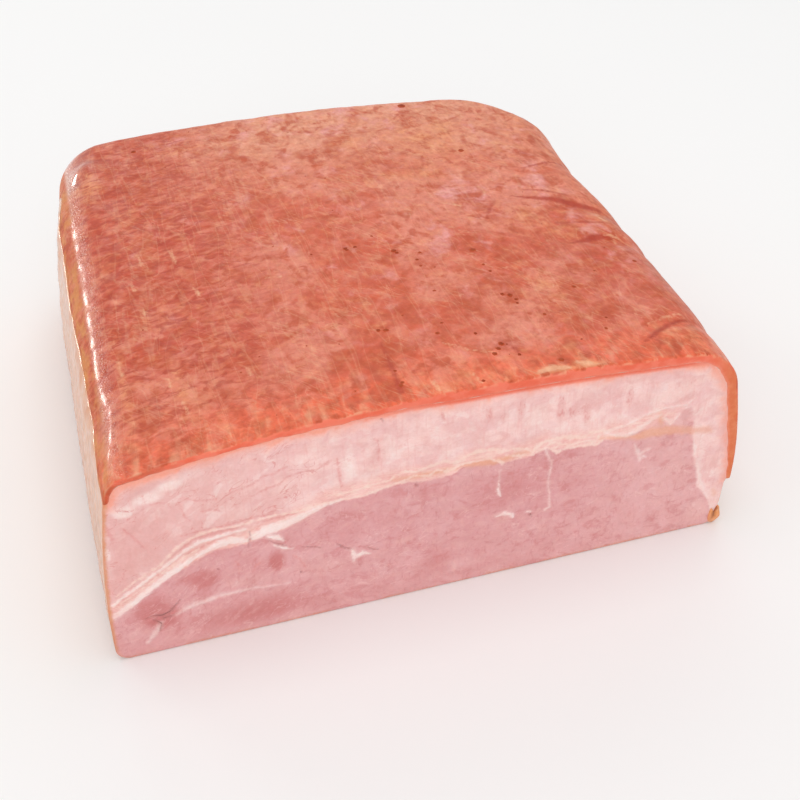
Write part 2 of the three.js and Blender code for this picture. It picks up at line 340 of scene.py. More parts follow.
class Surface:
    """Points, faces and each face corner's place on the bake map, for one piece."""

    def __init__(self):
        self.points = np.zeros((0, 3))
        self.faces = []
        self.places = []
        self.fields = {}

    def add(self, points, **fields):
        """Adds points, with named values for them, and returns their numbers."""
        first = len(self.points)
        points = np.asarray(points, float).reshape(-1, 3)
        self.points = np.vstack([self.points, points])
        for name in set(self.fields) | set(fields):
            missing = AWAY if name in LINE_FIELDS else 0.0
            old = self.fields.get(name, np.full(first, missing))
            new = np.broadcast_to(np.ravel(fields.get(name, missing)), len(points))
            self.fields[name] = np.concatenate([old, new])
        return np.arange(first, first + len(points))

    def join(self, faces, places):
        """Adds faces, as arrays of point numbers, with a place for every corner."""
        self.faces.append(np.asarray(faces, int))
        self.places.append(np.asarray(places, float))

    def sheet(self, numbers, box):
        """Joins a grid of point numbers and lays it flat in a box of the bake map."""
        rows, columns = numbers.shape
        left, low, right, high = box
        v, u = np.meshgrid(np.linspace(low, high, rows), np.linspace(left, right, columns), indexing="ij")
        faces = grid_faces(np.arange(numbers.size).reshape(numbers.shape))
        self.join(numbers.ravel()[faces], np.stack([u, v], axis=-1).reshape(-1, 2)[faces])

    def patch(self, faces, numbers, plan, box):
        """Joins faces between numbered points and lays their plan in a box of the bake map."""
        low, high = plan.min(axis=0), plan.max(axis=0)
        corner, far = np.array(box[:2]), np.array(box[2:])
        places = corner + (plan - low) / (high - low) * (far - corner)
        self.join(numbers[faces], places[faces])

    def mesh(self, name):
        """The collected surface as a mesh in metres, smooth and with its map and values."""
        mesh = bpy.data.meshes.new(name)
        moved = (self.points - np.append(SLAB_MIDDLE, 0.0)) * MM
        faces = [face for group in self.faces for face in group.tolist()]
        mesh.from_pydata(moved.tolist(), [], faces)
        layer = mesh.uv_layers.new(name="OFBake")
        corners = np.vstack([group.reshape(-1, 2) for group in self.places])
        layer.data.foreach_set("uv", corners.astype(np.float32).ravel())
        for field, values in self.fields.items():
            attribute = mesh.attributes.new(field, "FLOAT", "POINT")
            attribute.data.foreach_set("value", values.astype(np.float32))
        mesh.polygons.foreach_set("use_smooth", np.ones(len(mesh.polygons), bool))
        mesh.update()
        mesh.validate()
        return mesh


def quads(near, far):
    """Faces between two rows of point numbers that run side by side."""
    return np.column_stack([near[:-1], near[1:], far[1:], far[:-1]])


def grid_faces(numbers):
    """Faces of a grid of point numbers that runs back in rows and over the slab in columns."""
    return np.vstack([quads(near, far) for near, far in zip(numbers[:-1], numbers[1:])])


def inside(points, outline):
    """Which flat points lie within a closed outline."""
    x, z = points[:, 0], points[:, 1]
    found = np.zeros(len(points), bool)
    for (x0, z0), (x1, z1) in zip(outline, np.roll(outline, -1, axis=0)):
        if z0 != z1:
            crosses = ((z0 > z) != (z1 > z)) & (x < (x1 - x0) * (z - z0) / (z1 - z0) + x0)
            found ^= crosses
    return found


def distance(points, line, widths=None):
    """Distance of flat points from a line, less the line's half width where it has one."""
    least = np.full(len(points), 1e9)
    for k in range(len(line) - 1):
        a, b = line[k], line[k + 1]
        ab = b - a
        s = np.clip(((points - a) @ ab) / max(ab @ ab, 1e-12), 0, 1)
        away = np.linalg.norm(points - a - s[:, None] * ab, axis=1)
        if widths is not None:
            away = away - mix(widths[k], widths[k + 1], s)
        least = np.minimum(least, away)
    return least


def filled(outline, loose):
    """Triangles that fill an outline and use the loose points within it, counterclockwise."""
    flat = np.vstack([outline, loose])
    x, z = outline[:, 0], outline[:, 1]
    turns_left = np.sum(x * np.roll(z, -1) - np.roll(x, -1) * z) > 0
    ring = list(range(len(outline)))[::1 if turns_left else -1]
    _, _, faces, source, _, _ = delaunay_2d_cdt([Vector(p) for p in flat], [], [ring], 1, 1e-7)
    first = np.array([s[0] for s in source])
    faces = first[np.array(faces)]
    a, b, c = (flat[faces[:, k]] for k in range(3))
    clockwise = np.cross(b - a, c - a) < 0
    faces[clockwise] = faces[clockwise][:, ::-1]
    return faces


def loose_points(outline, spacing, margin):
    """Staggered points inside an outline, at least a margin away from it."""
    low, high = outline.min(axis=0), outline.max(axis=0)
    x, z = np.meshgrid(
        np.arange(low[0], high[0], spacing), np.arange(low[1], high[1], spacing * ROW_SHARE)
    )
    x[::2] += spacing / 2
    points = np.column_stack([x.ravel(), z.ravel()])
    points = points[inside(points, outline)]
    closed = np.vstack([outline, outline[:1]])
    return points[distance(points, closed) > margin]


# ---- What the cut face shows, as (x, z) on the cut ----
# The lean's upper edge, from left to right, and its right edge, from the top down as (z, x).
LEAN_TOP = [
    (-86, 14), (-83.5, 15.6), (-78.6, 19), (-75, 21.7), (-67.5, 27), (-60.7, 29.8), (-56.4, 31.4),
    (-49, 31.2), (-45, 32.6), (-38.6, 34.3), (-34, 36), (-29, 38.6), (-24, 38.9), (-19, 38.9),
    (-14.5, 40.2), (-8, 40.8), (-3, 39.4), (3, 39.7), (6, 41.5), (15, 41.2), (16.5, 40), (24, 40.8),
    (28, 42.1), (30.2, 40.2), (33.5, 40.4), (42, 39.8), (44, 41), (50, 40.2), (53, 41.2), (57, 42.2),
    (59, 43.4), (60.6, 42), (62.3, 40.6), (63.8, 42.8), (65.6, 45.4), (67.4, 46), (69.5, 43),
]
LEAN_RIGHT = [
    (0, 80.5), (5, 79.6), (7.3, 79.2), (10, 78.1), (13.8, 76.1), (16.2, 74), (19.7, 73.3), (23.8, 72.6),
    (29, 70.9), (32.5, 70.5), (37, 69.4), (42, 68.8), (46.6, 67.8), (60, 67.8),
]

# Lines as points (x, z, half width). White fat between layers and in the lean.
WHITE_LINES = [
    [(-85, 15, 0.5), (-82.5, 16.8, 0.8), (-79, 19.2, 0.9), (-75, 22, 0.9), (-70.5, 25.6, 0.9),
     (-66, 28.7, 0.9), (-62, 30.8, 0.8), (-59, 32, 0.7), (-55.5, 33.4, 1.1), (-52.5, 33.7, 1.1),
     (-50, 33, 0.9), (-48.8, 32.4, 0.4)],
    [(-83, 20.4, 0.3), (-80, 22.9, 0.4), (-76, 25.2, 0.45), (-72.5, 27.8, 0.4), (-69, 30.2, 0.4),
     (-66, 32.2, 0.45), (-63, 34.2, 0.5), (-60, 35.6, 0.6), (-56, 35.9, 0.5), (-52, 36.3, 0.5),
     (-49, 36.4, 0.3)],
    [(-47.3, 33.4, 1.2), (-44, 34.6, 1.4), (-40, 35.6, 1.4), (-36, 36.6, 1.2), (-32.5, 37.8, 0.8),
     (-29, 38.9, 0.45), (-25.5, 39.3, 0.2)], [(-44, 32.6, 0.4), (-41.9, 31.9, 0.8), (-40.2, 30.2, 0.3)],
    [(-42.6, 29.2, 0.2), (-40.3, 27.5, 0.35), (-38.2, 26.6, 0.2)],
    [(-23.1, 21.2, 0.3), (-22.6, 19, 0.8), (-22.8, 17.2, 0.4)],
    [(-22.4, 18.6, 0.8), (-20.5, 19.4, 0.6), (-18.4, 18.6, 0.2)],
    [(-68.6, 12, 0.3), (-66.5, 13.4, 0.6), (-63, 14.6, 0.7), (-57, 15.5, 0.5), (-50, 15.6, 0.3),
     (-40, 14.6, 0.1)], [(-72.3, 10.5, 0.2), (-74, 8, 0.6), (-75.6, 5.8, 0.6), (-77, 4.2, 0.3)],
    [(15.6, 21.8, 0.3), (17.6, 22.4, 0.6), (19.4, 21.6, 0.5), (20.3, 20.2, 0.2)],
    [(15.7, 38, -0.1), (15.8, 34.5, -0.1), (15.5, 31.8, 0.3), (15.8, 30.2, 0.35), (16.3, 28.8, 0)],
    [(27.8, 41.6, 0.1), (29, 38.7, 0.2), (29.9, 36.3, 0.15), (29.6, 33.6, 0.05), (29.3, 30.8, 0),
     (29.9, 26.7, 0.08), (30.1, 23.2, 0.2), (30.3, 21.2, 0.3), (29, 20.3, 0.4)],
    [(24.2, 20.9, 0.3), (25.1, 20.6, 0.3)],
    [(52.6, 37, 0.1), (53.6, 34.6, 0.5), (54.7, 32.8, 0.8), (55, 30.6, 0.2)],
    [(54.6, 33, 0.6), (57.4, 34, 0.3)], [(54.8, 33, 0.5), (56.6, 31.4, 0.15)],
    [(70.2, 33, 0.2), (71, 30.5, 0.4), (72, 26.4, 0.5), (73.4, 21.6, 0.5), (74.6, 17.6, 0.5),
     (76, 14.4, 0.35), (78, 10.6, 0.15)],
    [(44, 43, 0.15), (47, 41.8, 0.5), (50, 40.9, 0.7), (52.2, 41.4, 0.8), (54.5, 43.2, 0.7),
     (57, 44.6, 0.5), (59, 45.4, 0.2)],
    [(45, 43.4, 0.1), (49.5, 44.6, 0.25), (54.6, 46.4, 0.35), (60, 47.4, 0.3), (66, 47, 0.25),
     (68, 48.6, 0.2)], [(60.6, 43.6, 0.2), (62.4, 41.4, 0.4), (63.6, 42.6, 0.3), (64.4, 44.2, 0.1)],
]
# Cream lines that net the seam.
CREAM_LINES = [
    [(-81.5, 23.4, 0.15), (-78, 26.2, 0.25), (-74, 28.4, 0.25), (-70, 30.9, 0.3), (-67, 33.8, 0.35),
     (-63.9, 36.6, 0.4), (-60, 38, 0.4), (-56, 38.4, 0.35), (-52, 38, 0.3), (-47, 38.3, 0.3),
     (-42, 39, 0.3), (-36, 38.6, 0.3), (-30, 39.5, 0.3), (-24, 39.3, 0.3), (-19.3, 39, 0.3),
     (-15.9, 39.9, 0.35), (-12.5, 41, 0.35), (-9, 40.9, 0.2)],
    [(-81, 20.6, 0.15), (-77.2, 23, 0.25), (-73, 25.6, 0.25), (-69.4, 28.6, 0.25), (-64, 31.8, 0.3),
     (-60.5, 33.4, 0.3)],
    [(-26, 41.2, 0.2), (-21.4, 41.3, 0.35), (-17.3, 41.9, 0.3), (-13.1, 42.5, 0.35), (-11.1, 43.8, 0.3),
     (-8.7, 44.2, 0.35), (-6.3, 43.5, 0.35), (-3.2, 44.3, 0.45), (0.8, 44.9, 0.4), (3.9, 43.4, 0.35),
     (7.3, 45.5, 0.5), (10, 46, 0.6), (13.5, 45.4, 0.6), (16.3, 44, 0.5), (19, 44.3, 0.4),
     (22.5, 43.2, 0.3), (24.5, 41.4, 0.35), (25.6, 43.2, 0.45), (27.3, 44.3, 0.5), (30, 44.4, 0.5),
     (33.5, 44.2, 0.5), (36.9, 43.2, 0.5), (40.4, 44.3, 0.5), (44.4, 43.9, 0.4), (48, 44.6, 0.25)],
    [(-9.8, 41.3, 0.2), (-6, 42.4, 0.25), (-3, 41.2, 0.3), (-1, 42.6, 0.25), (2.4, 41.2, 0.35),
     (5.4, 42.6, 0.25), (8.6, 42.7, 0.2), (12.6, 42.5, 0.2), (15, 41.4, 0.3), (16.4, 40.2, 0.35)],
    [(17, 42.6, 0.2), (20.8, 41.3, 0.3), (23.9, 40.8, 0.3), (28, 42.2, 0.3), (30, 40.5, 0.4),
     (31.4, 39.6, 0.4), (33.5, 40.5, 0.4), (37.6, 40.4, 0.45), (41.8, 39.9, 0.5), (43, 41, 0.25),
     (42, 42.4, 0.2)],
    [(28, 42.6, 0.2), (29.6, 43.3, 0.35), (31.6, 42.6, 0.25), (31, 41.4, 0.2), (29.2, 41.5, 0.2)],
    [(32, 42, 0.2), (35, 41.4, 0.3), (38.6, 42, 0.25), (41.4, 41, 0.25)],
]
# Tan strip that smoke and salt drew into the layers on the right.
TAN_LINES = [
    [(42.5, 41.6, 0.3), (46.4, 41, 0.5), (50.9, 40, 0.5), (54, 39.5, 1.3), (57, 39.8, 1.7),
     (61, 39.4, 1.6), (65, 38.6, 1.3), (69, 37.4, 1.2), (71.5, 37, 0.9), (73.6, 36.6, 1.3),
     (75.4, 35, 0.4)],
    [(5.6, 42.2, 0.5), (9.5, 41.8, 1), (14, 41.3, 0.9), (20, 41.9, 0.6), (24, 41.8, 0.4)],
    [(-12, 42.4, 0.4), (-6, 42, 0.7), (1, 41.6, 0.8), (4, 41.6, 0.4)],
    [(58.6, 46, 0.25), (59.2, 43, 0.4), (60, 41, 0.3)], [(79.4, 13.4, 0.5), (80.2, 11.6, 0.7)],
]
# Cracks and pits in the cut, painted darker as shade in them.
SHADED_CRACKS = [
    [(-67, 17.2, 0.1), (-68.4, 15.2, 0.3), (-70, 13.4, 0.4), (-72, 12.7, 0.5), (-74, 13.3, 0.35),
     (-76, 13, 0.1)], [(-74.2, 11.8, 0.3), (-72.6, 10, 0.45), (-73.2, 7.6, 0.15)],
    [(-71.8, 11.6, 0.4), (-70, 11.7, 0.3), (-68.6, 12.4, 0.1)],
    [(-48, 35.2, 0.1), (-48.1, 33.2, 0.16), (-48.4, 31.6, 0.14), (-48.9, 29.8, 0.05)],
    [(-43.6, 30.9, 0.08), (-41, 28.8, 0.2), (-39.6, 27.9, 0.1)],
    [(-35.6, 26.4, 0.1), (-33.1, 25.3, 0.22), (-30.6, 24.2, 0.08)],
    [(-26.8, 24.4, 0.1), (-25.2, 22.6, 0.3), (-22.9, 21.3, 0.12)],
    [(-18.9, 20.8, 0.1), (-17.8, 19.6, 0.15), (-16.4, 19.3, 0.05)],
    [(-6.3, 39.3, 0.3), (-6.25, 38.6, 0.3)], [(25.35, 19.3, 0.42), (25.5, 18.8, 0.3)],
    [(-56.8, 25, 0.15), (-56.5, 24.8, 0.1)], [(-36.6, 17.4, 0.25), (-36.4, 17.1, 0.2)],
    [(-14.6, 62.2, 0.18), (-14.1, 61.4, 0.25)],
]
RED_VEINS = [
    [(-80, 21.6, 0.1), (-75.5, 24.1, 0.2), (-71, 27.4, 0.2), (-66.6, 30.8, 0.2), (-62, 33, 0.2),
     (-57, 34.6, 0.2), (-52, 35.2, 0.15)],
    [(-79, 24.6, 0.1), (-74, 27, 0.15), (-70, 29.8, 0.2), (-66.2, 33, 0.3), (-61.6, 36.8, 0.5),
     (-56, 37.4, 0.6), (-51, 37.2, 0.4)],
    [(-64, 38.8, 0.1), (-59, 39, 0.3), (-54, 38.9, 0.3), (-47, 39.4, 0.3), (-41, 39.6, 0.1)],
    [(-46, 37.6, 0.1), (-41, 38, 0.3), (-36, 38.2, 0.1)],
    [(-61.8, 50, 0.1), (-59.5, 48.9, 0.2), (-57, 48.2, 0.2), (-54.5, 48, 0.1)],
    [(-52.3, 49, 0.1), (-49, 49.4, 0.15), (-46, 50.2, 0.2), (-43.4, 51.8, 0.2), (-41, 51.9, 0.2),
     (-39.3, 52.8, 0.2), (-37.6, 53.4, 0.1)],
    [(-46.4, 46.4, 0.1), (-43.6, 47.8, 0.2), (-40.2, 48.3, 0.2), (-37.8, 50.2, 0.15), (-34, 51, 0.2),
     (-30.4, 50.6, 0.15), (-28.6, 52, 0.3), (-26.8, 52.7, 0.1)],
    [(-25.6, 53, 0.1), (-25.4, 49.5, 0.15), (-25.2, 46, 0.3), (-24.8, 43.4, 0.1)],
    [(-16.6, 56.4, 0.1), (-15.6, 55.6, 0.25), (-15.3, 52.4, 0.2), (-15.6, 49, 0.1)],
    [(0.4, 59.6, 0.5), (0.9, 58, 0.2)],
    [(-76.6, 44.6, 0.1), (-75.2, 42, 0.25), (-73.8, 39.4, 0.25), (-72.8, 36.8, 0.1)],
    [(-80.2, 45.8, 0.5), (-79.4, 42, 0.4)],
    [(-69.4, 50.4, 0.1), (-67.4, 50.6, 0.15), (-65.8, 49.4, 0.2), (-65, 47.6, 0.1)],
    [(-58.6, 45.2, 0.1), (-55.6, 45, 0.2), (-53.8, 43.6, 0.1)],
    [(-63, 48.5, 0.1), (-62.6, 45, 0.15), (-61.4, 43, 0.1)],
    [(-48.6, 21.6, 0.1), (-47.4, 23.6, 0.2), (-45.4, 24.6, 0.1)],
    [(-52.6, 27, 0.05), (-51.6, 24.4, 0.12), (-52, 22, 0.1)], [(-50.6, 20.6, 0.05), (-50.2, 18.4, 0.12)],
    [(-38.2, 24.4, 0.1), (-36.4, 21.9, 0.2), (-35.2, 18.4, 0.1)],
]
# Soft patches: x, z, half width, half height and strength. Positive is deeper rose, negative paler.
LEAN_PATCHES = [
    (-71.4, 11.6, 3, 2.4, 1.3), (-74, 15.4, 5, 5, 1.2), (-60.5, 21.8, 4, 4, 1.2),
    (-42.3, 23, 2, 3.4, 1.5), (-48, 7, 19, 5, 0.8), (-4.2, 33.5, 1.6, 5, 0.5), (19, 31, 12, 7, 0.5),
    (-1, 10, 4, 6, 0.4), (49.5, 18, 2, 2.4, 0.6), (44.8, 6, 2, 2, 0.5), (61.5, 7, 2.4, 2, 0.45),
    (66.4, 43.6, 1.4, 2.6, 1.4), (-52, 18.6, 9, 2.6, -0.6), (-31, 17.5, 9, 3.6, -0.5),
    (18, 17, 5, 3, -0.3), (67, 25.5, 4, 3, -0.5), (57, 24, 8, 6, -0.25), (75.6, 6.6, 3, 3.4, -1.5),
    (40, 13, 9, 4, -0.2), (-28, 12, 8, 4, -0.25), (-9.6, 20.4, 2.6, 1.1, -0.9), (4.2, 6, 0.8, 3.4, -0.9),
    (17.8, 20.4, 2, 1.3, -0.9), (-24, 33, 8, 4, 0.3), (-66, 24, 3, 2, 0.4),
]
# The same in the fat: positive is pinker, negative whiter.
FAT_PATCHES = [
    (-71, 42, 8, 7, 0.7), (-80, 28, 4, 8, 1), (-76, 38, 6, 8, 0.5), (-56, 47, 8, 5, 0.3),
    (-45.5, 55, 4.5, 3, 0.5), (-37, 57, 3.5, 2.4, 0.45), (-75.6, 49.4, 3, 2.4, -1.3),
    (-70, 52.4, 3.4, 1.8, -1.3), (-64.6, 54.8, 3, 1.4, -1.1), (-60, 57, 5, 2, -0.5),
    (-22.8, 49, 1.8, 5.6, -0.9), (-12.5, 52, 2, 6, -0.5), (5, 50, 6, 5, -0.35), (24, 54, 4, 4, -0.5),
    (45, 48, 4, 4, -0.35), (58, 52, 5, 4, -0.5), (-81.3, 37.4, 1.2, 3.4, -1.5), (73, 30, 1.4, 9, -0.3),
    (79, 5, 2, 4, -0.6), (12, 57, 1.2, 3, 0.7), (16, 55.4, 1.4, 2.4, 0.6), (20.6, 56, 1.3, 4.4, 1),
    (31, 54, 1.2, 4.4, 1.1), (34.8, 52.4, 2, 2.2, 1), (38.4, 50, 1.4, 4.4, 0.6), (45.4, 51, 1, 3, 0.6),
    (49.5, 53, 1.1, 3, 1.1), (62.4, 53.6, 1.4, 2, 0.7), (66.4, 54.4, 1.4, 1.6, 0.6), (2.6, 51, 1, 4, 0.5),
    (-6, 50, 2, 3, 0.3),
]

# ---- What the skin shows from above, as (x, y, half width, half depth, strength) ----
# Pale haze: partly a bloom of fat, partly painted sheen.
HAZE_AND_SHEEN_PATCHES = [
    (20, 156, 24, 8, 0.7), (62, 97, 5, 4, 0.5), (38, 90, 8, 9, 1), (3, 98, 6, 5, 0.7),
    (9, 140, 5, 4, 0.6), (21, 66, 6, 12, 0.6), (24, 15, 12, 5, 0.75), (0, 21, 5, 5, 0.6),
    (-51, 35, 7, 8, 0.6), (-45, 152, 12, 7, 0.6), (-20, 150, 12, 8, 0.5), (-28, 14, 4, 4, 0.4),
    (-20, 77, 4, 5, 0.4), (64, 60, 8, 14, 0.3), (64, 68, 5, 5, 0.6), (62, 92, 6, 10, 0.6),
    (40, 17, 7, 4, 0.5), (31, 91, 3, 5, 0.7), (53, 131, 5, 5, 0.5), (62, 117, 3, 3, 0.8),
    (72, 40, 2, 10, 0.4), (-64, 24, 6, 10, 0.35), (27, 140, 5, 5, 0.45),
]
TAN_PATCHES = [
    (37, 128, 11, 16, 0.8), (12, 132, 5, 7, 0.6), (-70, 136, 3.5, 9, 1.4), (-41, 146, 9, 3, 0.5),
    (27, 106, 8, 5, 0.6), (-6, 34, 2.5, 6, 0.5), (42, 30, 9, 8, 0.35), (-57, 26, 2.4, 9, 0.8),
    (-70.5, 30, 1.2, 24, 0.8), (68, 8, 7, 7, 0.6), (35, 10, 5, 3, 0.7), (29, 1.4, 5, 2, 1.5),
    (38, 2, 4, 2, 1.1), (12, 105, 6, 5, 0.3), (60, 118, 4, 5, 0.7), (59, 64, 6, 4, 0.5),
    (45, 134, 3, 6, 0.7), (42, 38, 4, 3, 0.8), (8, 4, 9, 4, 0.7), (50, 73, 8, 8, 0.6),
    (72, 70, 3, 5, 0.9), (-78, 140, 4, 14, 0.8), (-46, 40, 5, 4, 0.3), (-57, 59, 5, 5, 0.45),
    (-62, 110, 4, 8, 0.5),
]
DARK_PATCHES = [
    (-58, 132, 14, 12, 0.5), (-66, 50, 6, 30, 0.4), (-48, 36, 3, 8, 0.8), (-72, 153, 4, 4, 1.6),
    (-48, 68, 12, 4, 0.7), (-58, 72, 8, 4, 0.6), (-70, 4, 2, 3, 0.7), (-59, 5.5, 4, 2.4, 0.9),
    (46.6, 36, 2.6, 3, 1), (39, 89, 5, 4, 1), (51.5, 44.5, 2, 2, 1.1), (47.5, 52, 4, 3.4, 0.6),
    (29.8, 33, 2.6, 3, 1.2), (18, 33, 3, 5, 0.7), (20.6, 14, 3, 3, 0.8), (35, 142, 3.4, 9, 1),
    (43, 142, 3, 5, 0.8), (46, 30, 7, 6, 0.4), (64, 110, 4, 6, 0.9), (-55, 126, 4, 4, 0.7),
    (-47, 18, 3.4, 3, 0.9), (11, 98, 4, 2.4, 0.7), (32, 4.6, 2, 1.8, 1.1), (38.4, 5, 1.8, 2, 1.1),
    (-2, 122, 1, 10, 0.9), (13, 141, 3, 5, 0.6), (64.4, 79, 6, 3, 0.7), (63.5, 58, 5, 2, 0.8),
    (-27, 120, 6, 8, 0.3), (-47, 107, 8, 5, 0.5), (40, 75, 5, 8, 0.4), (52, 22, 6, 4, 0.7),
    (36, 22, 2, 4, 0.8), (61, 6, 5, 3, 0.7), (7.6, 64, 2, 2, 0.8), (-4, 70, 3, 2, 0.6),
    (28, 58, 2, 2, 0.7), (12, 56, 2, 8, 0.5), (-6, 29, 2, 2, 0.8), (25, 40, 12, 6, 0.4),
    (-30, 165, 44, 2, 0.7), (42, 165, 30, 2, 0.5), (30, 48, 3, 6, 0.5), (56, 42, 4, 4, 0.5),
    (-60, 166, 16, 3, 0.7),
]
SKIN_LUMPS = [(-69.4, 148.0, 8.0, 1.2)]    # x, y, radius and height
# Painted shade: dark lines in the creases.
CREASE_SHADE_LINES = [    # dark lines in the creases, as (x, y, half width)
    [(50, 85.6, 0.2), (56, 83.8, 0.7), (61, 82, 1.1), (65.5, 79.4, 1.2), (69.5, 77.2, 1.2),
     (74, 75.4, 1)], [(54, 89, 0.2), (60, 87, 0.4), (66, 83.6, 0.3)],
    [(57, 68, 0.2), (64, 67.6, 0.4), (71, 66.6, 0.4)],
    [(56.6, 57, 0.2), (61, 58, 0.9), (65, 59.6, 1.4), (68.6, 59.6, 0.9), (70.6, 58.8, 0.3)],
    [(56, 7.6, 0.2), (60, 10.6, 0.8), (64, 12.8, 0.8), (68, 14.6, 0.6), (73, 16, 0.4)],
    [(-7.8, 24, 0.2), (-8.2, 12, 0.5), (-8.5, 4, 0.8)], [(22.6, 12.5, 0.4), (23.2, 9.5, 0.3)],
    [(60, 102, 0.2), (68, 104.5, 0.4), (76, 106.5, 0.3)], [(44, 84, 0.2), (40.6, 79, 0.4), (38, 74, 0.2)],
]
# Pale flecks and lines, and painted highlights: glints and the lit lips of creases.
PALE_LINES_AND_GLINTS = [    # pale lines and glints
    [(69, 60.4, 0.2), (71, 60, 0.5), (73, 58.8, 0.3)],
    [(60, 14.6, 0.1), (66, 16.8, 0.2), (72, 17.8, 0.2)], [(71, 71, 0.3), (72.6, 68, 0.5)],
    [(42.5, 88, 0.1), (43.4, 91, 0.4), (42.6, 94, 0.1)],
    [(24.6, 1.4, 0.5), (28.6, 2.4, 1.2), (32.6, 1.4, 0.5)],
    [(35, 3.6, 0.3), (37.4, 2, 0.8), (40, 1.4, 0.5)], [(5, 20, 0.05), (12, 14, 0.15), (18, 11, 0.05)],
    [(-0.6, 6, 0.3), (-0.2, 1.6, 0.5)], [(9.6, 5, 0.2), (10.2, 1.4, 0.4)],
    [(-51.6, 88, 0.1), (-51, 84.5, 0.5), (-50.8, 81, 0.2)], [(-60.6, 90, 0.1), (-59.8, 84, 0.4)],
    [(-63.8, 77, 0.1), (-63.2, 72.6, 0.3)], [(-62.4, 64, 0.1), (-61.6, 60, 0.3)],
    [(-47.8, 67, 0.2), (-47.2, 64.4, 0.45), (-46.8, 62, 0.1)], [(-60, 30.4, 0.1), (-59.6, 27, 0.4)],
    [(-57.8, 20, 0.1), (-57.2, 15, 0.3)], [(-41, 27, 0.1), (-40.6, 23.6, 0.4)],
    [(-71, 44, 0.1), (-70.4, 37, 0.3)], [(-29, 63, 0.05), (-25, 62, 0.3)],
    [(28, 87, 0.1), (33, 83.6, 0.3)],
]
BROWN_MARKS = [    # marks in the skin with their half widths
    (28.3, 58.5, 0.9), (7.5, 65, 0.9), (8, 63.7, 0.6), (-5, 70, 0.7), (-4.7, 69.2, 0.5), (-2.2, 70, 0.6),
    (-7, 29.2, 0.6), (-5.2, 28.6, 0.7), (18.8, 12.8, 0.7), (17.2, 11, 0.7), (20.2, 14.6, 0.8),
    (23, 9.4, 0.5), (36.3, 154, 1.4), (45.2, 117.6, 0.9), (14, 62, 0.5), (12.3, 55.2, 0.5),
    (12.2, 58.6, 0.5), (11.8, 42, 0.4), (-8, 6.2, 0.6), (-7.4, 7, 0.5), (-7.7, 11.9, 0.4), (11, 1.8, 0.5),
    (32.2, 5, 0.8), (48.6, 15, 0.45), (50.6, 19.4, 0.4), (35.8, 24.6, 0.5), (15.6, 20.4, 0.5),
    (6.6, 23.2, 0.6), (9, 27.2, 0.5), (48.4, 34.9, 0.6), (30.2, 34.8, 0.8), (28.4, 35.6, 0.6),
    (31.2, 32.8, 0.6), (30.9, 31.2, 0.5), (-54.4, 153, 0.9), (70.8, 44.6, 0.6), (57.2, 41.4, 0.4),
    (3.7, 74.2, 0.4), (29.2, 47, 0.5), (28.6, 50.6, 0.5),
]


def as_lines(lines):
    return [np.array(line, float) for line in lines]


def depth_in(points, lines):
    """How far inside the nearest of several lines flat points lie. Outside them it is negative."""
    deepest = np.full(len(points), AWAY)
    for line in as_lines(lines):
        deepest = np.maximum(deepest, -distance(points, line[:, :2], line[:, 2]))
    return deepest


def patch_sum(points, patches):
    total = np.zeros(len(points))
    for x, z, wide, high, strength in patches:
        away = ((points[:, 0] - x) / wide) ** 2 + ((points[:, 1] - z) / high) ** 2
        total += strength * np.exp(-away)
    return total


def lean_depth(points):
    """How far inside the lean flat points lie, in millimetres."""
    x, z = points[:, 0], points[:, 1]
    top_x, top_z = zip(*LEAN_TOP)
    right_z, right_x = zip(*LEAN_RIGHT)
    below = np.interp(x, top_x, top_z) - z
    return np.minimum(below, np.interp(z, right_z, right_x) - x)


def ripple(points, waves, seed):
    """Uneven heights at flat points: a few waves in every direction for each length."""
    random = np.random.default_rng(seed)
    height = np.zeros(len(points))
    for high, length in waves:
        for _ in range(6):
            turn, start = random.uniform(0, 2 * np.pi, 2)
            way = points @ np.array([math.cos(turn), math.sin(turn)])
            height += high / 2.4 * np.sin(2 * np.pi * way / (length * random.uniform(0.7, 1.4)) + start)
    return height


def points_on(lines, step):
    """Points along lines and along both their edges, so that thin lines keep their shape."""
    found = []
    for line in as_lines(lines):
        length = way_along(line[:, :2])[-1]
        middle = spread(line, 0, length, max(2, int(length / step)))
        ahead = np.gradient(middle[:, :2], axis=0)
        ahead /= np.maximum(np.linalg.norm(ahead, axis=1, keepdims=True), 1e-9)
        beside = np.column_stack([-ahead[:, 1], ahead[:, 0]]) * np.maximum(middle[:, 2:], 0.18)
        found += [middle[:, :2], middle[:, :2] + beside, middle[:, :2] - beside]
    return np.vstack(found)


# ---- The rind's mesh ----
def back_end_line(left, right):
    """The rind's end across the back, from its left end to its right one, as section points."""
    share = np.linspace(0, 1, BACK_LINE + 1)
    line = mix(left, right, share[:, None])
    waves = sum(height * np.sin(turns * share) for height, turns in BACK_END_WAVES)
    line[:, 1] -= np.sin(np.pi * share) * (BACK_END_DIP + waves)
    return line


def back_normals(flat):
    slope_x = BACK_TURN / CUT_LEFT - 2 * BACK_BOW * flat[:, 0] / CUT_LEFT**2
    slope_z = -BACK_LEAN / LEFT_HEIGHT
    normal = np.column_stack([-slope_x, np.ones(len(flat)), np.full(len(flat), -slope_z)])
    return normal / np.linalg.norm(normal, axis=1, keepdims=True)


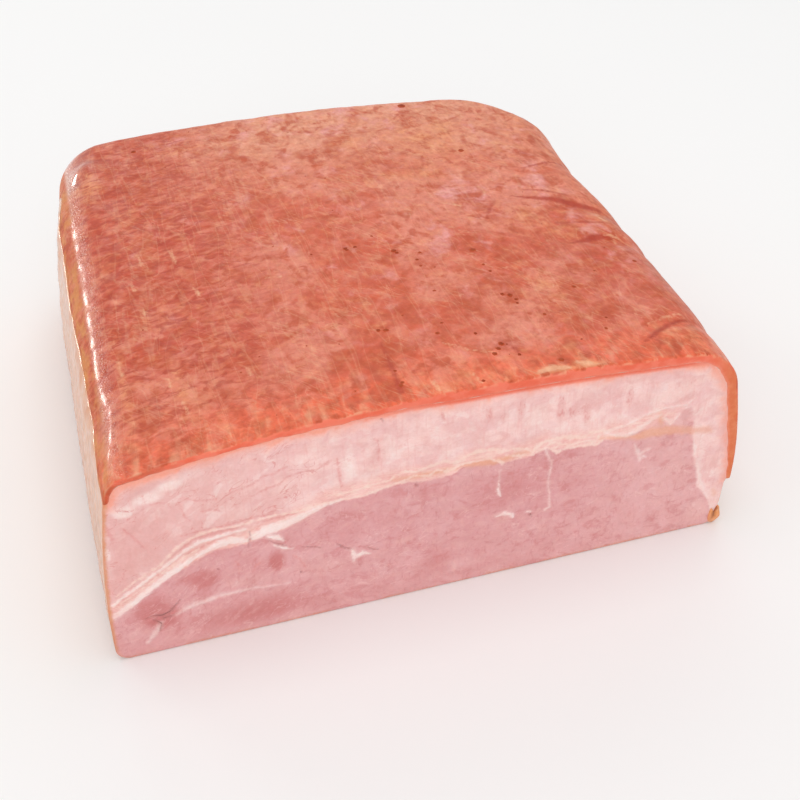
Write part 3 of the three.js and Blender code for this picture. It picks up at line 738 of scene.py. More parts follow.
def skin_fields(points, over_share, y):
    """What the skin shows at points in space, and how much relief it has there."""
    seen = points[:, :2]
    ends = np.minimum(over_share, 1 - over_share) * SKIN_WIDTH
    return {
        "haze": patch_sum(seen, HAZE_AND_SHEEN_PATCHES),
        "tan": patch_sum(seen, TAN_PATCHES),
        "dark": patch_sum(seen, DARK_PATCHES),
        "crease": depth_in(seen, CREASE_SHADE_LINES),
        "lip": depth_in(seen, PALE_LINES_AND_GLINTS),
        "relief": ease((y - BAND_PROUD) / 5) * ease(ends / 5) * mix(0.3, 1, ease((seen[:, 0] + 75) / 9)),
    }


def lump_height(points):
    """How far lumps raise the skin at points in space."""
    return sum(height * ease(1 - np.hypot(points[..., 0] - x, points[..., 1] - y) / radius)
               for x, y, radius, height in SKIN_LUMPS)


def rind_surface():
    """The rind: its skin, its cut edge in front, its ends at both sides and back, and its inside."""
    surface = Surface()
    shares = depth_places(BAND_PROUD, RIND_ALONG, RIND_ROUND)
    flat = []
    for t in shares:
        line = section(t, stepped=False)
        flat.append(spread(line, *rind_ends(line, t), RIND_ACROSS))
    flat = np.array(flat)
    outer = np.array([placed(row, t) for row, t in zip(flat, shares)])
    outer = outer + grid_normals(outer) * lump_height(outer)[..., None]
    normals = grid_normals(outer)
    normals[0, :, 1] = 0
    normals[0] /= np.linalg.norm(normals[0], axis=1, keepdims=True)
    over = np.linspace(0, 1, RIND_ACROSS + 1)
    waves = sum(high * np.sin(2 * np.pi * over / long + start) for high, long, start in THICKNESS_WAVES)
    thickness = np.broadcast_to(rind_thickness(over) + waves, outer.shape[:2])

    # The skin, and the patch that closes it at the back.
    over_all, y_all = np.broadcast_to(over, outer.shape[:2]).ravel(), outer[..., 1].ravel()
    skin = surface.add(outer, **skin_fields(outer.reshape(-1, 3), over_all, y_all))
    skin = skin.reshape(outer.shape[:2])
    end_line = back_end_line(flat[-1, 0], flat[-1, -1])[1:-1]
    outline = np.vstack([flat[-1], end_line[::-1]])
    loose = loose_points(outline, RIND_BACK_SPACING, RIND_BACK_SPACING * 0.6)
    end_ids = surface.add(placed(end_line, 1.0))
    inner_share = ease(distance(loose, np.vstack([flat[-1, :1], end_line, flat[-1, -1:]])) / 5)
    loose_ids = surface.add(placed(loose, 1.0), relief=inner_share)
    surface.sheet(skin, SKIN_MAP)
    back_ids = np.concatenate([skin[-1], end_ids[::-1], loose_ids])
    back_flat = np.vstack([outline, loose])
    surface.patch(filled(outline, loose)[:, ::-1], back_ids, back_flat, SKIN_BACK_MAP)

    # The rim that runs along the cut, down the right end, across the back and up the left end.
    rim = np.concatenate([skin[0], skin[1:, -1], end_ids[::-1], skin[:0:-1, 0]])
    every_normal = np.vstack([normals.reshape(-1, 3), back_normals(end_line), back_normals(loose)])
    at_back = np.full(len(end_line) + len(loose), BACK_THICKNESS)
    every_thickness = np.concatenate([thickness.ravel(), at_back])
    at, normal, thick = surface.points[rim], every_normal[rim], every_thickness[rim][:, None]
    ahead = np.roll(at, -1, axis=0) - np.roll(at, 1, axis=0)
    away = np.cross(ahead, normal)
    away /= np.linalg.norm(away, axis=1, keepdims=True)
    away[1:RIND_ACROSS] = (0, -1, 0)
    in_front = np.zeros(len(rim))
    in_front[:RIND_ACROSS + 1] = 1
    rows = [rim]
    for inward, proud in RIM_PROFILE:
        place = at - normal * thick * inward + away * BAND_PROUD * proud
        rows.append(surface.add(place, band=inward, cut=in_front))
    inside_rim = surface.add(at - normal * thick, band=1.0, cut=in_front)
    rows.append(inside_rim)
    rows = np.array(rows)[::-1]
    rows = np.hstack([rows, rows[:, :1]])
    last = len(shares) - 1
    corners = np.cumsum([0, RIND_ACROSS, last, len(end_line) + 1, last])
    for first, end, box in zip(corners[:-1], corners[1:], RIM_MAPS):
        surface.sheet(rows[:, first:end + 1], box)

    # The hidden inside, with few faces.
    def inner(numbers):
        return surface.points[numbers] - every_normal[numbers] * every_thickness[numbers][:, None]

    inner_last = surface.add(inner(skin[-1, 1:-1]), band=1.0)
    step = RIND_HIDDEN_STEP
    row, column = (grid.ravel() for grid in np.mgrid[step:last - 1:step, step:RIND_ACROSS - 1:step])
    deep = surface.add(inner(skin[row, column]), band=1.0)
    border = np.concatenate([inside_rim[:corners[2] + 1], inner_last[::-1], inside_rim[corners[3]:]])
    across, along = np.arange(RIND_ACROSS + 1.0), np.arange(last + 1.0)
    border_flat = np.vstack([
        np.column_stack([across, 0 * across]),
        np.column_stack([0 * along[1:] + RIND_ACROSS, along[1:]]),
        np.column_stack([across[-2:0:-1], 0 * across[-2:0:-1] + last]),
        np.column_stack([0 * along[:0:-1], along[:0:-1]]),
    ])
    deep_flat = np.column_stack([column, row]).astype(float)
    numbers, plan = np.concatenate([border, deep]), np.vstack([border_flat, deep_flat])
    surface.patch(filled(border_flat, deep_flat)[:, ::-1], numbers, plan, INSIDE_MAP)
    few = loose_points(outline, HIDDEN_SPACING, HIDDEN_SPACING * 0.5)
    few_ids = surface.add(placed(few, 1.0) - back_normals(few) * BACK_THICKNESS, band=1.0)
    left_corner, right_corner = inside_rim[corners[3]], inside_rim[corners[2]]
    numbers = np.concatenate([
        [left_corner], inner_last, [right_corner], inside_rim[corners[2] + 1:corners[3]], few_ids,
    ])
    surface.patch(filled(outline, few), numbers, np.vstack([outline, few]), INSIDE_BACK_MAP)
    return surface


# ---- The meat's mesh ----
def cut_fields(flat, open_line, covered_line):
    """What the cut shows at flat points: how deep in each layer and line, and how far from its edges."""
    return {
        "lean": np.clip(lean_depth(flat), -9, 9),
        "white": depth_in(flat, WHITE_LINES),
        "cream": depth_in(flat, CREAM_LINES),
        "tan_line": depth_in(flat, TAN_LINES),
        "crack": depth_in(flat, SHADED_CRACKS),
        "vein": depth_in(flat, RED_VEINS),
        "rose": patch_sum(flat, LEAN_PATCHES),
        "pink": patch_sum(flat, FAT_PATCHES),
        "edge": np.minimum(distance(flat, open_line), 12),
        "under": np.minimum(distance(flat, covered_line), 12),
        "cut": np.ones(len(flat)),
    }


def cut_height(fields):
    """How far the cut stands out at points with these fields."""
    return sum(high * ease((fields[line] + soft) / (2 * soft)) for line, high, soft in LINE_HEIGHTS)


def wall_fields(flat, y):
    """The same for the smoked walls. The layers run through the slab, so lean shows there too."""
    drift = sum(height * np.sin(y / length + start) for height, length, start in DRIFT_WAVES)
    seen = np.column_stack([flat[:, 0], flat[:, 1] + drift * ease(y / 12)])
    return {
        "lean": np.clip(lean_depth(seen), -9, 9), "under": np.full(len(flat), 12.0),
        "relief": ease((y - MEAT_BEHIND_BAND) / 6) * ease(flat[:, 1] / 3),
    }


def meat_surface():
    """The fat and the lean: the cut, the smoked walls, the back, the underside and under the rind."""
    surface = Surface()
    shares = depth_places(MEAT_BEHIND_BAND + CUT_EDGE[-1][1], MEAT_ALONG, MEAT_ROUND)
    left, covered, right = [], [], []
    for t in shares:
        plain, stepped = section(t, stepped=False), section(t, stepped=True)
        start, end = rind_ends(plain, t)
        way, peak = way_along(stepped), int(np.argmax(stepped[:, 1]))
        below = np.interp(right_end(t) - RIND_EDGE / 2, stepped[peak:, 1][::-1], way[peak:][::-1])
        left.append(spread(plain, 0, start, MEAT_LEFT))
        covered.append(spread(plain, start + LEDGE, end, MEAT_COVERED))
        right.append(spread(stepped, below, way[-1], MEAT_RIGHT))
    left, covered, right = np.array(left), np.array(covered), np.array(right)
    under = mix(right[:, -1:], left[:, :1], np.linspace(0, 1, MEAT_UNDER + 1)[1:-1, None])
    flat = np.hstack([left, covered, right, under])
    ring = np.array([placed(row, t) for row, t in zip(flat, shares)])
    hidden = slice(MEAT_LEFT + 1, MEAT_LEFT + MEAT_COVERED + 2)
    normals = grid_normals(ring[:, hidden])
    normals[0, :, 1] = 0
    over = np.linspace(0, 1, MEAT_COVERED + 1)
    ring[:, hidden] -= normals * (rind_thickness(over) - MEAT_UNDER_BAND)[:, None]

    # The cut's rounded edge, and the cut within it.
    outline = ring[0][:, [0, 2]]
    ahead = np.roll(outline, -1, axis=0) - np.roll(outline, 1, axis=0)
    inward = np.column_stack([ahead[:, 1], -ahead[:, 0]])
    inward /= np.linalg.norm(inward, axis=1, keepdims=True)
    count = len(outline)
    bare = np.arange(hidden.stop - 1, count + MEAT_LEFT + 1) % count
    open_line, covered_line = outline[bare], outline[hidden]
    is_open = np.ones(count)
    is_open[hidden] = COVERED_EDGE
    ring[0, hidden, 1] = MEAT_BEHIND_BAND + COVERED_EDGE * CUT_EDGE[-1][1]
    loops = []
    for inset, behind in CUT_EDGE[:-1]:
        at = outline + inward * inset
        y = MEAT_BEHIND_BAND + behind * is_open
        points = np.column_stack([at[:, 0], y, at[:, 1]])
        loops.append(surface.add(points, **cut_fields(at, open_line, covered_line)))
    cut_outline = outline + inward * CUT_EDGE[0][0]
    loose = np.vstack([
        loose_points(cut_outline, CUT_SPACING, CUT_SPACING * 0.6),
        points_on(WHITE_LINES + CREAM_LINES + SHADED_CRACKS + RED_VEINS, CUT_SPACING),
    ])
    loose = loose[inside(loose, cut_outline)]
    closed = np.vstack([cut_outline, cut_outline[:1]])
    margin = distance(loose, closed)
    loose, margin = loose[margin > 0.2], margin[margin > 0.2]
    fields = cut_fields(loose, open_line, covered_line)
    height = (cut_height(fields) + ripple(loose, CUT_WAVES, 5)) * ease(margin / 2.5)
    cut_points = np.column_stack([loose[:, 0], MEAT_BEHIND_BAND - height, loose[:, 1]])
    cut_ids = surface.add(cut_points, **fields)
    plan = np.vstack([cut_outline, loose])
    numbers = np.concatenate([loops[0], cut_ids])
    surface.patch(filled(cut_outline, loose), numbers, plan, CUT_MAP)

    # The walls, the underside and the part under the rind, as one ring that runs back.
    walls = surface.add(ring, **wall_fields(flat.reshape(-1, 2), ring[..., 1].ravel()))
    walls = walls.reshape(ring.shape[:2])
    first = walls[0]
    for name, values in cut_fields(outline, open_line, covered_line).items():
        if name in ("lean", "rose", "pink"):
            surface.fields[name][first] = values
    rows = np.vstack([loops, walls])
    surface.sheet(np.hstack([rows, rows[:, :1]]), WALLS_MAP)

    # The back, which steps in under the rind's end.
    end_line = back_end_line(left[-1, -1], covered[-1, -1])
    back_outline = flat[-1]
    step_points = [end_line[1:-1] + (0, up) for up in (-0.2, 0.35, 0.9)]
    loose = np.vstack([loose_points(back_outline, BACK_SPACING, BACK_SPACING * 0.6)] + step_points)
    loose = loose[inside(loose, back_outline)]
    loose = loose[distance(loose, np.vstack([back_outline, back_outline[:1]])) > 0.25]
    above = loose[:, 1] - np.interp(loose[:, 0], end_line[:, 0], end_line[:, 1])
    inset = (BACK_THICKNESS - MEAT_UNDER_BAND) * ease((above + 0.2) / 1.1)
    back = placed(loose, 1.0) - back_normals(loose) * inset[:, None]
    back_ids = surface.add(back, **wall_fields(loose, np.full(len(loose), DEPTH)))
    numbers = np.concatenate([walls[-1], back_ids])
    plan = np.vstack([back_outline, loose])
    surface.patch(filled(back_outline, loose)[:, ::-1], numbers, plan, MEAT_BACK_MAP)
    return surface


# ---- The rolled scrap's mesh ----
def smooth_loop(corners, count):
    """A closed smooth line through corners, with count points between each two."""
    p = np.array(corners, float)
    before, after, beyond = np.roll(p, 1, axis=0), np.roll(p, -1, axis=0), np.roll(p, -2, axis=0)
    found = []
    for s in np.linspace(0, 1, count, endpoint=False):
        found.append(0.5 * (2 * p + (after - before) * s + (2 * before - 5 * p + 4 * after - beyond) * s**2
                            + (3 * p - before - 3 * after + beyond) * s**3))
    return np.stack(found, axis=1).reshape(-1, 2)


def curl_surface():
    surface = Surface()
    shape = smooth_loop(CURL_OUTLINE, 5)
    middle = shape.mean(axis=0)
    rows = []
    for y, size in CURL_LOOPS:
        loop = middle + (shape - middle) * size
        slip = mix(0.0, -2.0, float(ease(y / CURL_LOOPS[-1][0])))
        points = np.column_stack([loop[:, 0] + slip, np.full(len(loop), y), loop[:, 1]])
        points[:, 1] += 0.25 * np.sin(loop[:, 1] * 1.7) * size
        rolled = 1 - ease(distance(loop, np.array([(81.5, 6.2), (80.9, 4.2), (80.75, 2.9)])) / 0.9)
        rows.append(surface.add(points, inner=rolled, front=1 - ease(y / 1.0)))
    rows = np.array(rows)
    # The outline runs counterclockwise seen from the front, so the ring is turned to face outwards.
    surface.sheet(np.hstack([rows, rows[:, :1]])[:, ::-1], CURL_MAP)
    for row, box, flip in zip((rows[0], rows[-1]), CURL_END_MAPS, (1, -1)):
        plan = surface.points[row][:, [0, 2]]
        surface.patch(filled(plan, np.zeros((0, 2)))[:, ::flip], row, plan, box)
    return surface


# ---- Nodes ----
def with_alpha(colour):
    return colour if isinstance(colour, bpy.types.NodeSocket) else (*colour, 1.0)


class Graph:
    """Adds nodes to a tree and joins their sockets."""

    def __init__(self, tree):
        self.tree = tree
        self.count = 0

    def add(self, kind, inputs=None, **settings):
        node = self.tree.nodes.new(kind)
        node.location = (220 * (self.count // 5), -240 * (self.count % 5))
        self.count += 1
        for name, value in settings.items():
            setattr(node, name, value)
        for key, value in (inputs or {}).items():
            if isinstance(value, bpy.types.NodeSocket):
                self.tree.links.new(value, node.inputs[key])
            else:
                node.inputs[key].default_value = value
        return node

    def value(self, operation, first, second=0.0):
        return self.add("ShaderNodeMath", {0: first, 1: second}, operation=operation).outputs[0]

    def vector(self, operation, first, second):
        key = 3 if operation == "SCALE" else 1
        return self.add("ShaderNodeVectorMath", {0: first, key: second}, operation=operation).outputs[0]

    def times(self, first, second):
        return self.value("MULTIPLY", first, second)

    def plus(self, first, second):
        return self.value("ADD", first, second)

    def minus(self, first, second):
        return self.value("SUBTRACT", first, second)

    def between(self, value, low, high, start=0.0, end=1.0):
        """start below low, end above high and a smooth passage between them."""
        inputs = {"Value": value, "From Min": low, "From Max": high, "To Min": start, "To Max": end}
        return self.add("ShaderNodeMapRange", inputs, interpolation_type="SMOOTHSTEP").outputs[0]

    def blend(self, share, first, second, strength=1.0, kind="MIX"):
        """Colours mixed by a share, or by as much of it as the strength."""
        share = share if strength == 1.0 else self.times(share, strength)
        inputs = {0: share, 6: with_alpha(first), 7: with_alpha(second)}
        return self.add("ShaderNodeMix", inputs, data_type="RGBA", blend_type=kind).outputs[2]

    def noise(self, vector, size, detail=2.0, rough=0.5, twist=0.0):
        """Noise between about 0.25 and 0.75 whose lumps are size long, in the vector's unit."""
        if isinstance(size, (int, float)):
            size = (size, size, size)
        place = self.vector("DIVIDE", vector, size)
        inputs = {"Vector": place, "Scale": 1.0, "Detail": detail, "Roughness": rough,
                  "Distortion": twist}
        return self.add("ShaderNodeTexNoise", inputs, noise_dimensions="3D").outputs[0]

    def ridge(self, vector, size, width, detail=2.0, twist=0.5):
        """Thin winding lines, where noise passes through its middle value."""
        away = self.minus(self.noise(vector, size, detail, 0.5, twist), 0.5)
        return self.between(self.value("ABSOLUTE", away), 0.0, width, 1.0, 0.0)

    def group(self, name, **inputs):
        return self.add("ShaderNodeGroup", inputs, node_tree=shader_group(name)).outputs[0]

    def patches(self, vector, size, low, high):
        return self.group("Patches", Vector=vector, Size=size, Low=low, High=high)

    def ragged(self, depth, vector, ragged, grain, softness):
        return self.group("Ragged edge", Depth=depth, Vector=vector, Ragged=ragged, Grain=grain,
                          Softness=softness)

    def flecks(self, vector, size, share, radius):
        return self.group("Flecks", Vector=vector, Size=size, Share=share, Radius=radius)

    def tools(self):
        """What a finish calls most."""
        return (self.between, self.times, self.plus, self.minus, self.noise, self.field, self.patches,
                self.ragged)

    def stored(self, name, kind="FLOAT"):
        return self.add("GeometryNodeInputNamedAttribute", {"Name": name}, data_type=kind).outputs[0]

    def field(self, name):
        """A value that the mesh holds under a name."""
        return self.add("ShaderNodeAttribute", attribute_name=name).outputs["Fac"]


def new_group(name, kind, inputs, outputs):
    """A node group with named sockets, and the graph, input node and output node in it."""
    tree = bpy.data.node_groups.new(name, kind)
    for in_out, sockets in (("INPUT", inputs), ("OUTPUT", outputs)):
        for label, socket_type, default in sockets:
            socket = tree.interface.new_socket(label, in_out=in_out,
                                               socket_type="NodeSocket" + socket_type)
            if default is not None:
                socket.default_value = default
    graph = Graph(tree)
    return tree, graph, graph.add("NodeGroupInput").outputs, graph.add("NodeGroupOutput").inputs


def ragged_edge_group():
    """Turns a depth in millimetres into a mask with an uneven edge."""
    inputs = [("Depth", "Float", 0.0), ("Vector", "Vector", None), ("Ragged", "Float", 0.3),
              ("Grain", "Float", 1.5), ("Softness", "Float", 0.3)]
    tree, graph, given, result = new_group(
        "Ragged edge", "ShaderNodeTree", inputs, [("Mask", "Float", None)])
    place = graph.vector("DIVIDE", given["Vector"], graph.add(
        "ShaderNodeCombineXYZ", {0: given["Grain"], 1: given["Grain"], 2: given["Grain"]}).outputs[0])
    noise = graph.noise(place, 1.0, 3.0, 0.6)
    moved = graph.times(graph.minus(noise, 0.5), given["Ragged"])
    depth = graph.plus(given["Depth"], graph.times(moved, 4.0))
    low = graph.times(given["Softness"], -1.0)
    graph.tree.links.new(graph.between(depth, low, given["Softness"]), result["Mask"])
    return tree


def patches_group():
    """Soft patches or streaks of a size in millimetres, from noise."""
    inputs = [("Vector", "Vector", None), ("Size", "Vector", (10, 10, 10)), ("Low", "Float", 0.45),
              ("High", "Float", 0.6)]
    tree, graph, given, result = new_group("Patches", "ShaderNodeTree", inputs, [("Mask", "Float", None)])
    place = graph.vector("DIVIDE", given["Vector"], given["Size"])
    noise = graph.noise(place, 1.0, 3.0, 0.55, 0.3)
    graph.tree.links.new(graph.between(noise, given["Low"], given["High"]), result["Mask"])
    return tree


def flecks_group():
    """Scattered flecks of a size in millimetres, in a share of the cells."""
    inputs = [("Vector", "Vector", None), ("Size", "Vector", (3, 3, 3)), ("Share", "Float", 0.3),
              ("Radius", "Float", 0.3)]
    tree, graph, given, result = new_group("Flecks", "ShaderNodeTree", inputs, [("Mask", "Float", None)])
    place = graph.vector("DIVIDE", given["Vector"], given["Size"])
    shift = graph.add("ShaderNodeTexNoise", {"Vector": place, "Scale": 2.5, "Detail": 2.0})
    place = graph.vector("ADD", place, graph.vector("SCALE", shift.outputs["Color"], 0.35))
    cells = graph.add("ShaderNodeTexVoronoi", {"Vector": place, "Scale": 1.0}, feature="F1")
    pick = graph.add("ShaderNodeSeparateColor", {0: cells.outputs["Color"]}).outputs[0]
    size = graph.times(given["Radius"], graph.between(pick, 0.0, given["Share"], 1.0, 0.0))
    inner = graph.minus(size, cells.outputs["Distance"])
    graph.tree.links.new(graph.between(inner, -0.02, 0.12), result["Mask"])
    return tree


def shader_group(name):
    makers = {"Ragged edge": ragged_edge_group, "Patches": patches_group, "Flecks": flecks_group}
    return bpy.data.node_groups.get(name) or makers[name]()


def relief_tree():
    """Moves a surface along its normals by noise, where the mesh says it has relief."""
    inputs = [("Geometry", "Geometry", None), ("Height", "Float", 0.0002),
              ("Size", "Vector", (0.01, 0.01, 0.01)), ("Material", "Material", None)]
    tree, graph, given, result = new_group(
        "Skin relief", "GeometryNodeTree", inputs, [("Geometry", "Geometry", None)])
    place = graph.add("GeometryNodeInputPosition").outputs[0]
    noise = graph.noise(graph.vector("DIVIDE", place, given["Size"]), 1.0, 2.0, 0.5)
    weight = graph.stored("relief")
    height = graph.times(graph.minus(noise, 0.5), given["Height"])
    height = graph.times(graph.times(height, 4.0), weight)
    normal = graph.add("GeometryNodeInputNormal").outputs[0]
    moved = graph.add("GeometryNodeSetPosition", {
        "Geometry": given["Geometry"], "Offset": graph.vector("SCALE", normal, height)}).outputs[0]
    whole = graph.add("GeometryNodeRealizeInstances", {"Geometry": moved}).outputs[0]
    dressed = graph.add("GeometryNodeSetMaterial",
                        {"Geometry": whole, "Material": given["Material"]}).outputs[0]
    tree.links.new(dressed, result["Geometry"])
    return tree


def speck_tree():
    """Low uneven specks: at points that hold a width, and scattered over a skin."""
    inputs = [("Geometry", "Geometry", None), ("Density", "Float", 2500.0),
              ("Smallest", "Float", 0.00012), ("Largest", "Float", 0.0003), ("Flatness", "Float", 0.2),
              ("Seed", "Int", 4), ("Material", "Material", None)]
    tree, graph, given, result = new_group(
        "Smoke specks", "GeometryNodeTree", inputs, [("Geometry", "Geometry", None)])
    weight = graph.stored("relief")
    density = graph.times(given["Density"], weight)
    strewn = graph.add("GeometryNodeDistributePointsOnFaces", {
        "Mesh": given["Geometry"], "Density": density, "Seed": given["Seed"]}, distribute_method="RANDOM")
    width = graph.add("FunctionNodeRandomValue", {
        "Min": given["Smallest"], "Max": given["Largest"], "Seed": given["Seed"]}, data_type="FLOAT")
    width = next(o for o in width.outputs if o.enabled)
    sized = graph.add("GeometryNodeStoreNamedAttribute", {
        "Geometry": strewn.outputs["Points"], "Name": "width", "Value": width},
        data_type="FLOAT", domain="POINT").outputs[0]
    strewn = graph.add("GeometryNodeStoreNamedAttribute", {
        "Geometry": sized, "Name": "up", "Value": strewn.outputs["Normal"]},
        data_type="FLOAT_VECTOR", domain="POINT").outputs[0]
    held = graph.stored("width")
    marks = graph.add("GeometryNodeMeshToPoints", {
        "Mesh": given["Geometry"], "Selection": graph.value("GREATER_THAN", held, 0.0)}).outputs[0]
    points = graph.add("GeometryNodeJoinGeometry")
    tree.links.new(strewn, points.inputs[0])
    tree.links.new(marks, points.inputs[0])
    up = graph.stored("up", "FLOAT_VECTOR")
    turn = graph.add("FunctionNodeAlignRotationToVector", {"Vector": up}, axis="Z").outputs[0]
    blob = graph.add("GeometryNodeMeshIcoSphere", {"Radius": 1.0, "Subdivisions": 2}).outputs[0]
    place = graph.add("GeometryNodeInputPosition").outputs[0]
    rise = graph.add("ShaderNodeSeparateXYZ", {0: place}).outputs[2]
    blob = graph.add("GeometryNodeStoreNamedAttribute", {
        "Geometry": blob, "Name": "rise", "Value": rise}, data_type="FLOAT", domain="POINT").outputs[0]
    high = graph.times(held, given["Flatness"])
    size = graph.add("ShaderNodeCombineXYZ", {0: held, 1: held, 2: high}).outputs[0]
    placed_blobs = graph.add("GeometryNodeInstanceOnPoints", {
        "Points": points.outputs[0], "Instance": blob, "Rotation": turn, "Scale": size}).outputs[0]
    whole = graph.add("GeometryNodeRealizeInstances", {"Geometry": placed_blobs}).outputs[0]
    noise = graph.add("ShaderNodeTexNoise",
                      {"Vector": place, "Scale": 2200.0, "Detail": 1.0}).outputs["Color"]
    shift = graph.vector("SCALE", graph.vector("SUBTRACT", noise, (0.5, 0.5, 0.5)), 0.0007)
    flat_shift = graph.vector("MULTIPLY", shift, (1.0, 1.0, 0.1))
    whole = graph.add("GeometryNodeSetPosition", {"Geometry": whole, "Offset": flat_shift}).outputs[0]
    dressed = graph.add("GeometryNodeSetMaterial",
                        {"Geometry": whole, "Material": given["Material"]}).outputs[0]
    tree.links.new(dressed, result["Geometry"])
    return tree


def geometry_tree(name):
    makers = {"Skin relief": relief_tree, "Smoke specks": speck_tree}
    return bpy.data.node_groups.get(name) or makers[name]()


def run_tree(piece, name, **values):
    """Runs a geometry tree on a piece and keeps the result as its plain mesh."""
    tree = geometry_tree(name)
    modifier = piece.modifiers.new(name, "NODES")
    modifier.node_group = tree
    for item in tree.interface.items_tree:
        if item.item_type == "SOCKET" and item.in_out == "INPUT" and item.name in values:
            modifier[item.identifier] = values[item.name]
    view = bpy.context.evaluated_depsgraph_get()
    made = bpy.data.meshes.new_from_object(
        piece.evaluated_get(view), preserve_all_data_layers=True, depsgraph=view)
    piece.modifiers.clear()
    old, piece.data = piece.data, made
    name = old.name
    bpy.data.meshes.remove(old)
    made.name = name


# ---- Finishes ----
def new_material(name, **constants):
    """A material with its shader, whose constant sockets are set on it, and its coordinates in mm."""
    material = bpy.data.materials.new(name)
    material.use_nodes = True
    material.node_tree.nodes.clear()
    graph = Graph(material.node_tree)
    shader = graph.add("ShaderNodeBsdfPrincipled",
                       {key.replace("_", " "): v for key, v in constants.items()})
    output = graph.add("ShaderNodeOutputMaterial")
    graph.tree.links.new(shader.outputs[0], output.inputs[0])
    place = graph.add("ShaderNodeTexCoord").outputs["Object"]
    return material, graph, shader, graph.vector("SCALE", place, 1000.0)


def connect(graph, shader, **sockets):
    for name, value in sockets.items():
        graph.tree.links.new(value, shader.inputs[name.replace("_", " ")])


def bumped(graph, height, depth):
    """A normal from heights between 0 and 1, depth metres deep."""
    return graph.add("ShaderNodeBump", {"Height": height, "Strength": 1.0, "Distance": depth}).outputs[0]


class Paint:
    """Two colours mixed by a share, and more laid on them, each where and as much as its share says."""

    def __init__(self, graph, share, first, second):
        self.graph, self.shown = graph, graph.blend(share, first, second)

    def lay(self, share, colour, strength=1.0):
        self.shown = self.graph.blend(share, self.shown, colour, strength)

    def mottle_and_sheen(self, fine, broad, strength):
        """Makes the colour darker and paler by two noises. Red changes least, so the paler spots whiten
        like a fine painted sheen.
        """
        share = self.graph.between(self.graph.plus(fine, broad), 0.64, 1.36)
        low = [1 - strength * weight for weight in (0.6, 1.1, 1.3)]
        shade = self.graph.blend(share, low, [2 - value for value in low])
        self.shown = self.graph.blend(1.0, self.shown, shade, kind="MULTIPLY")


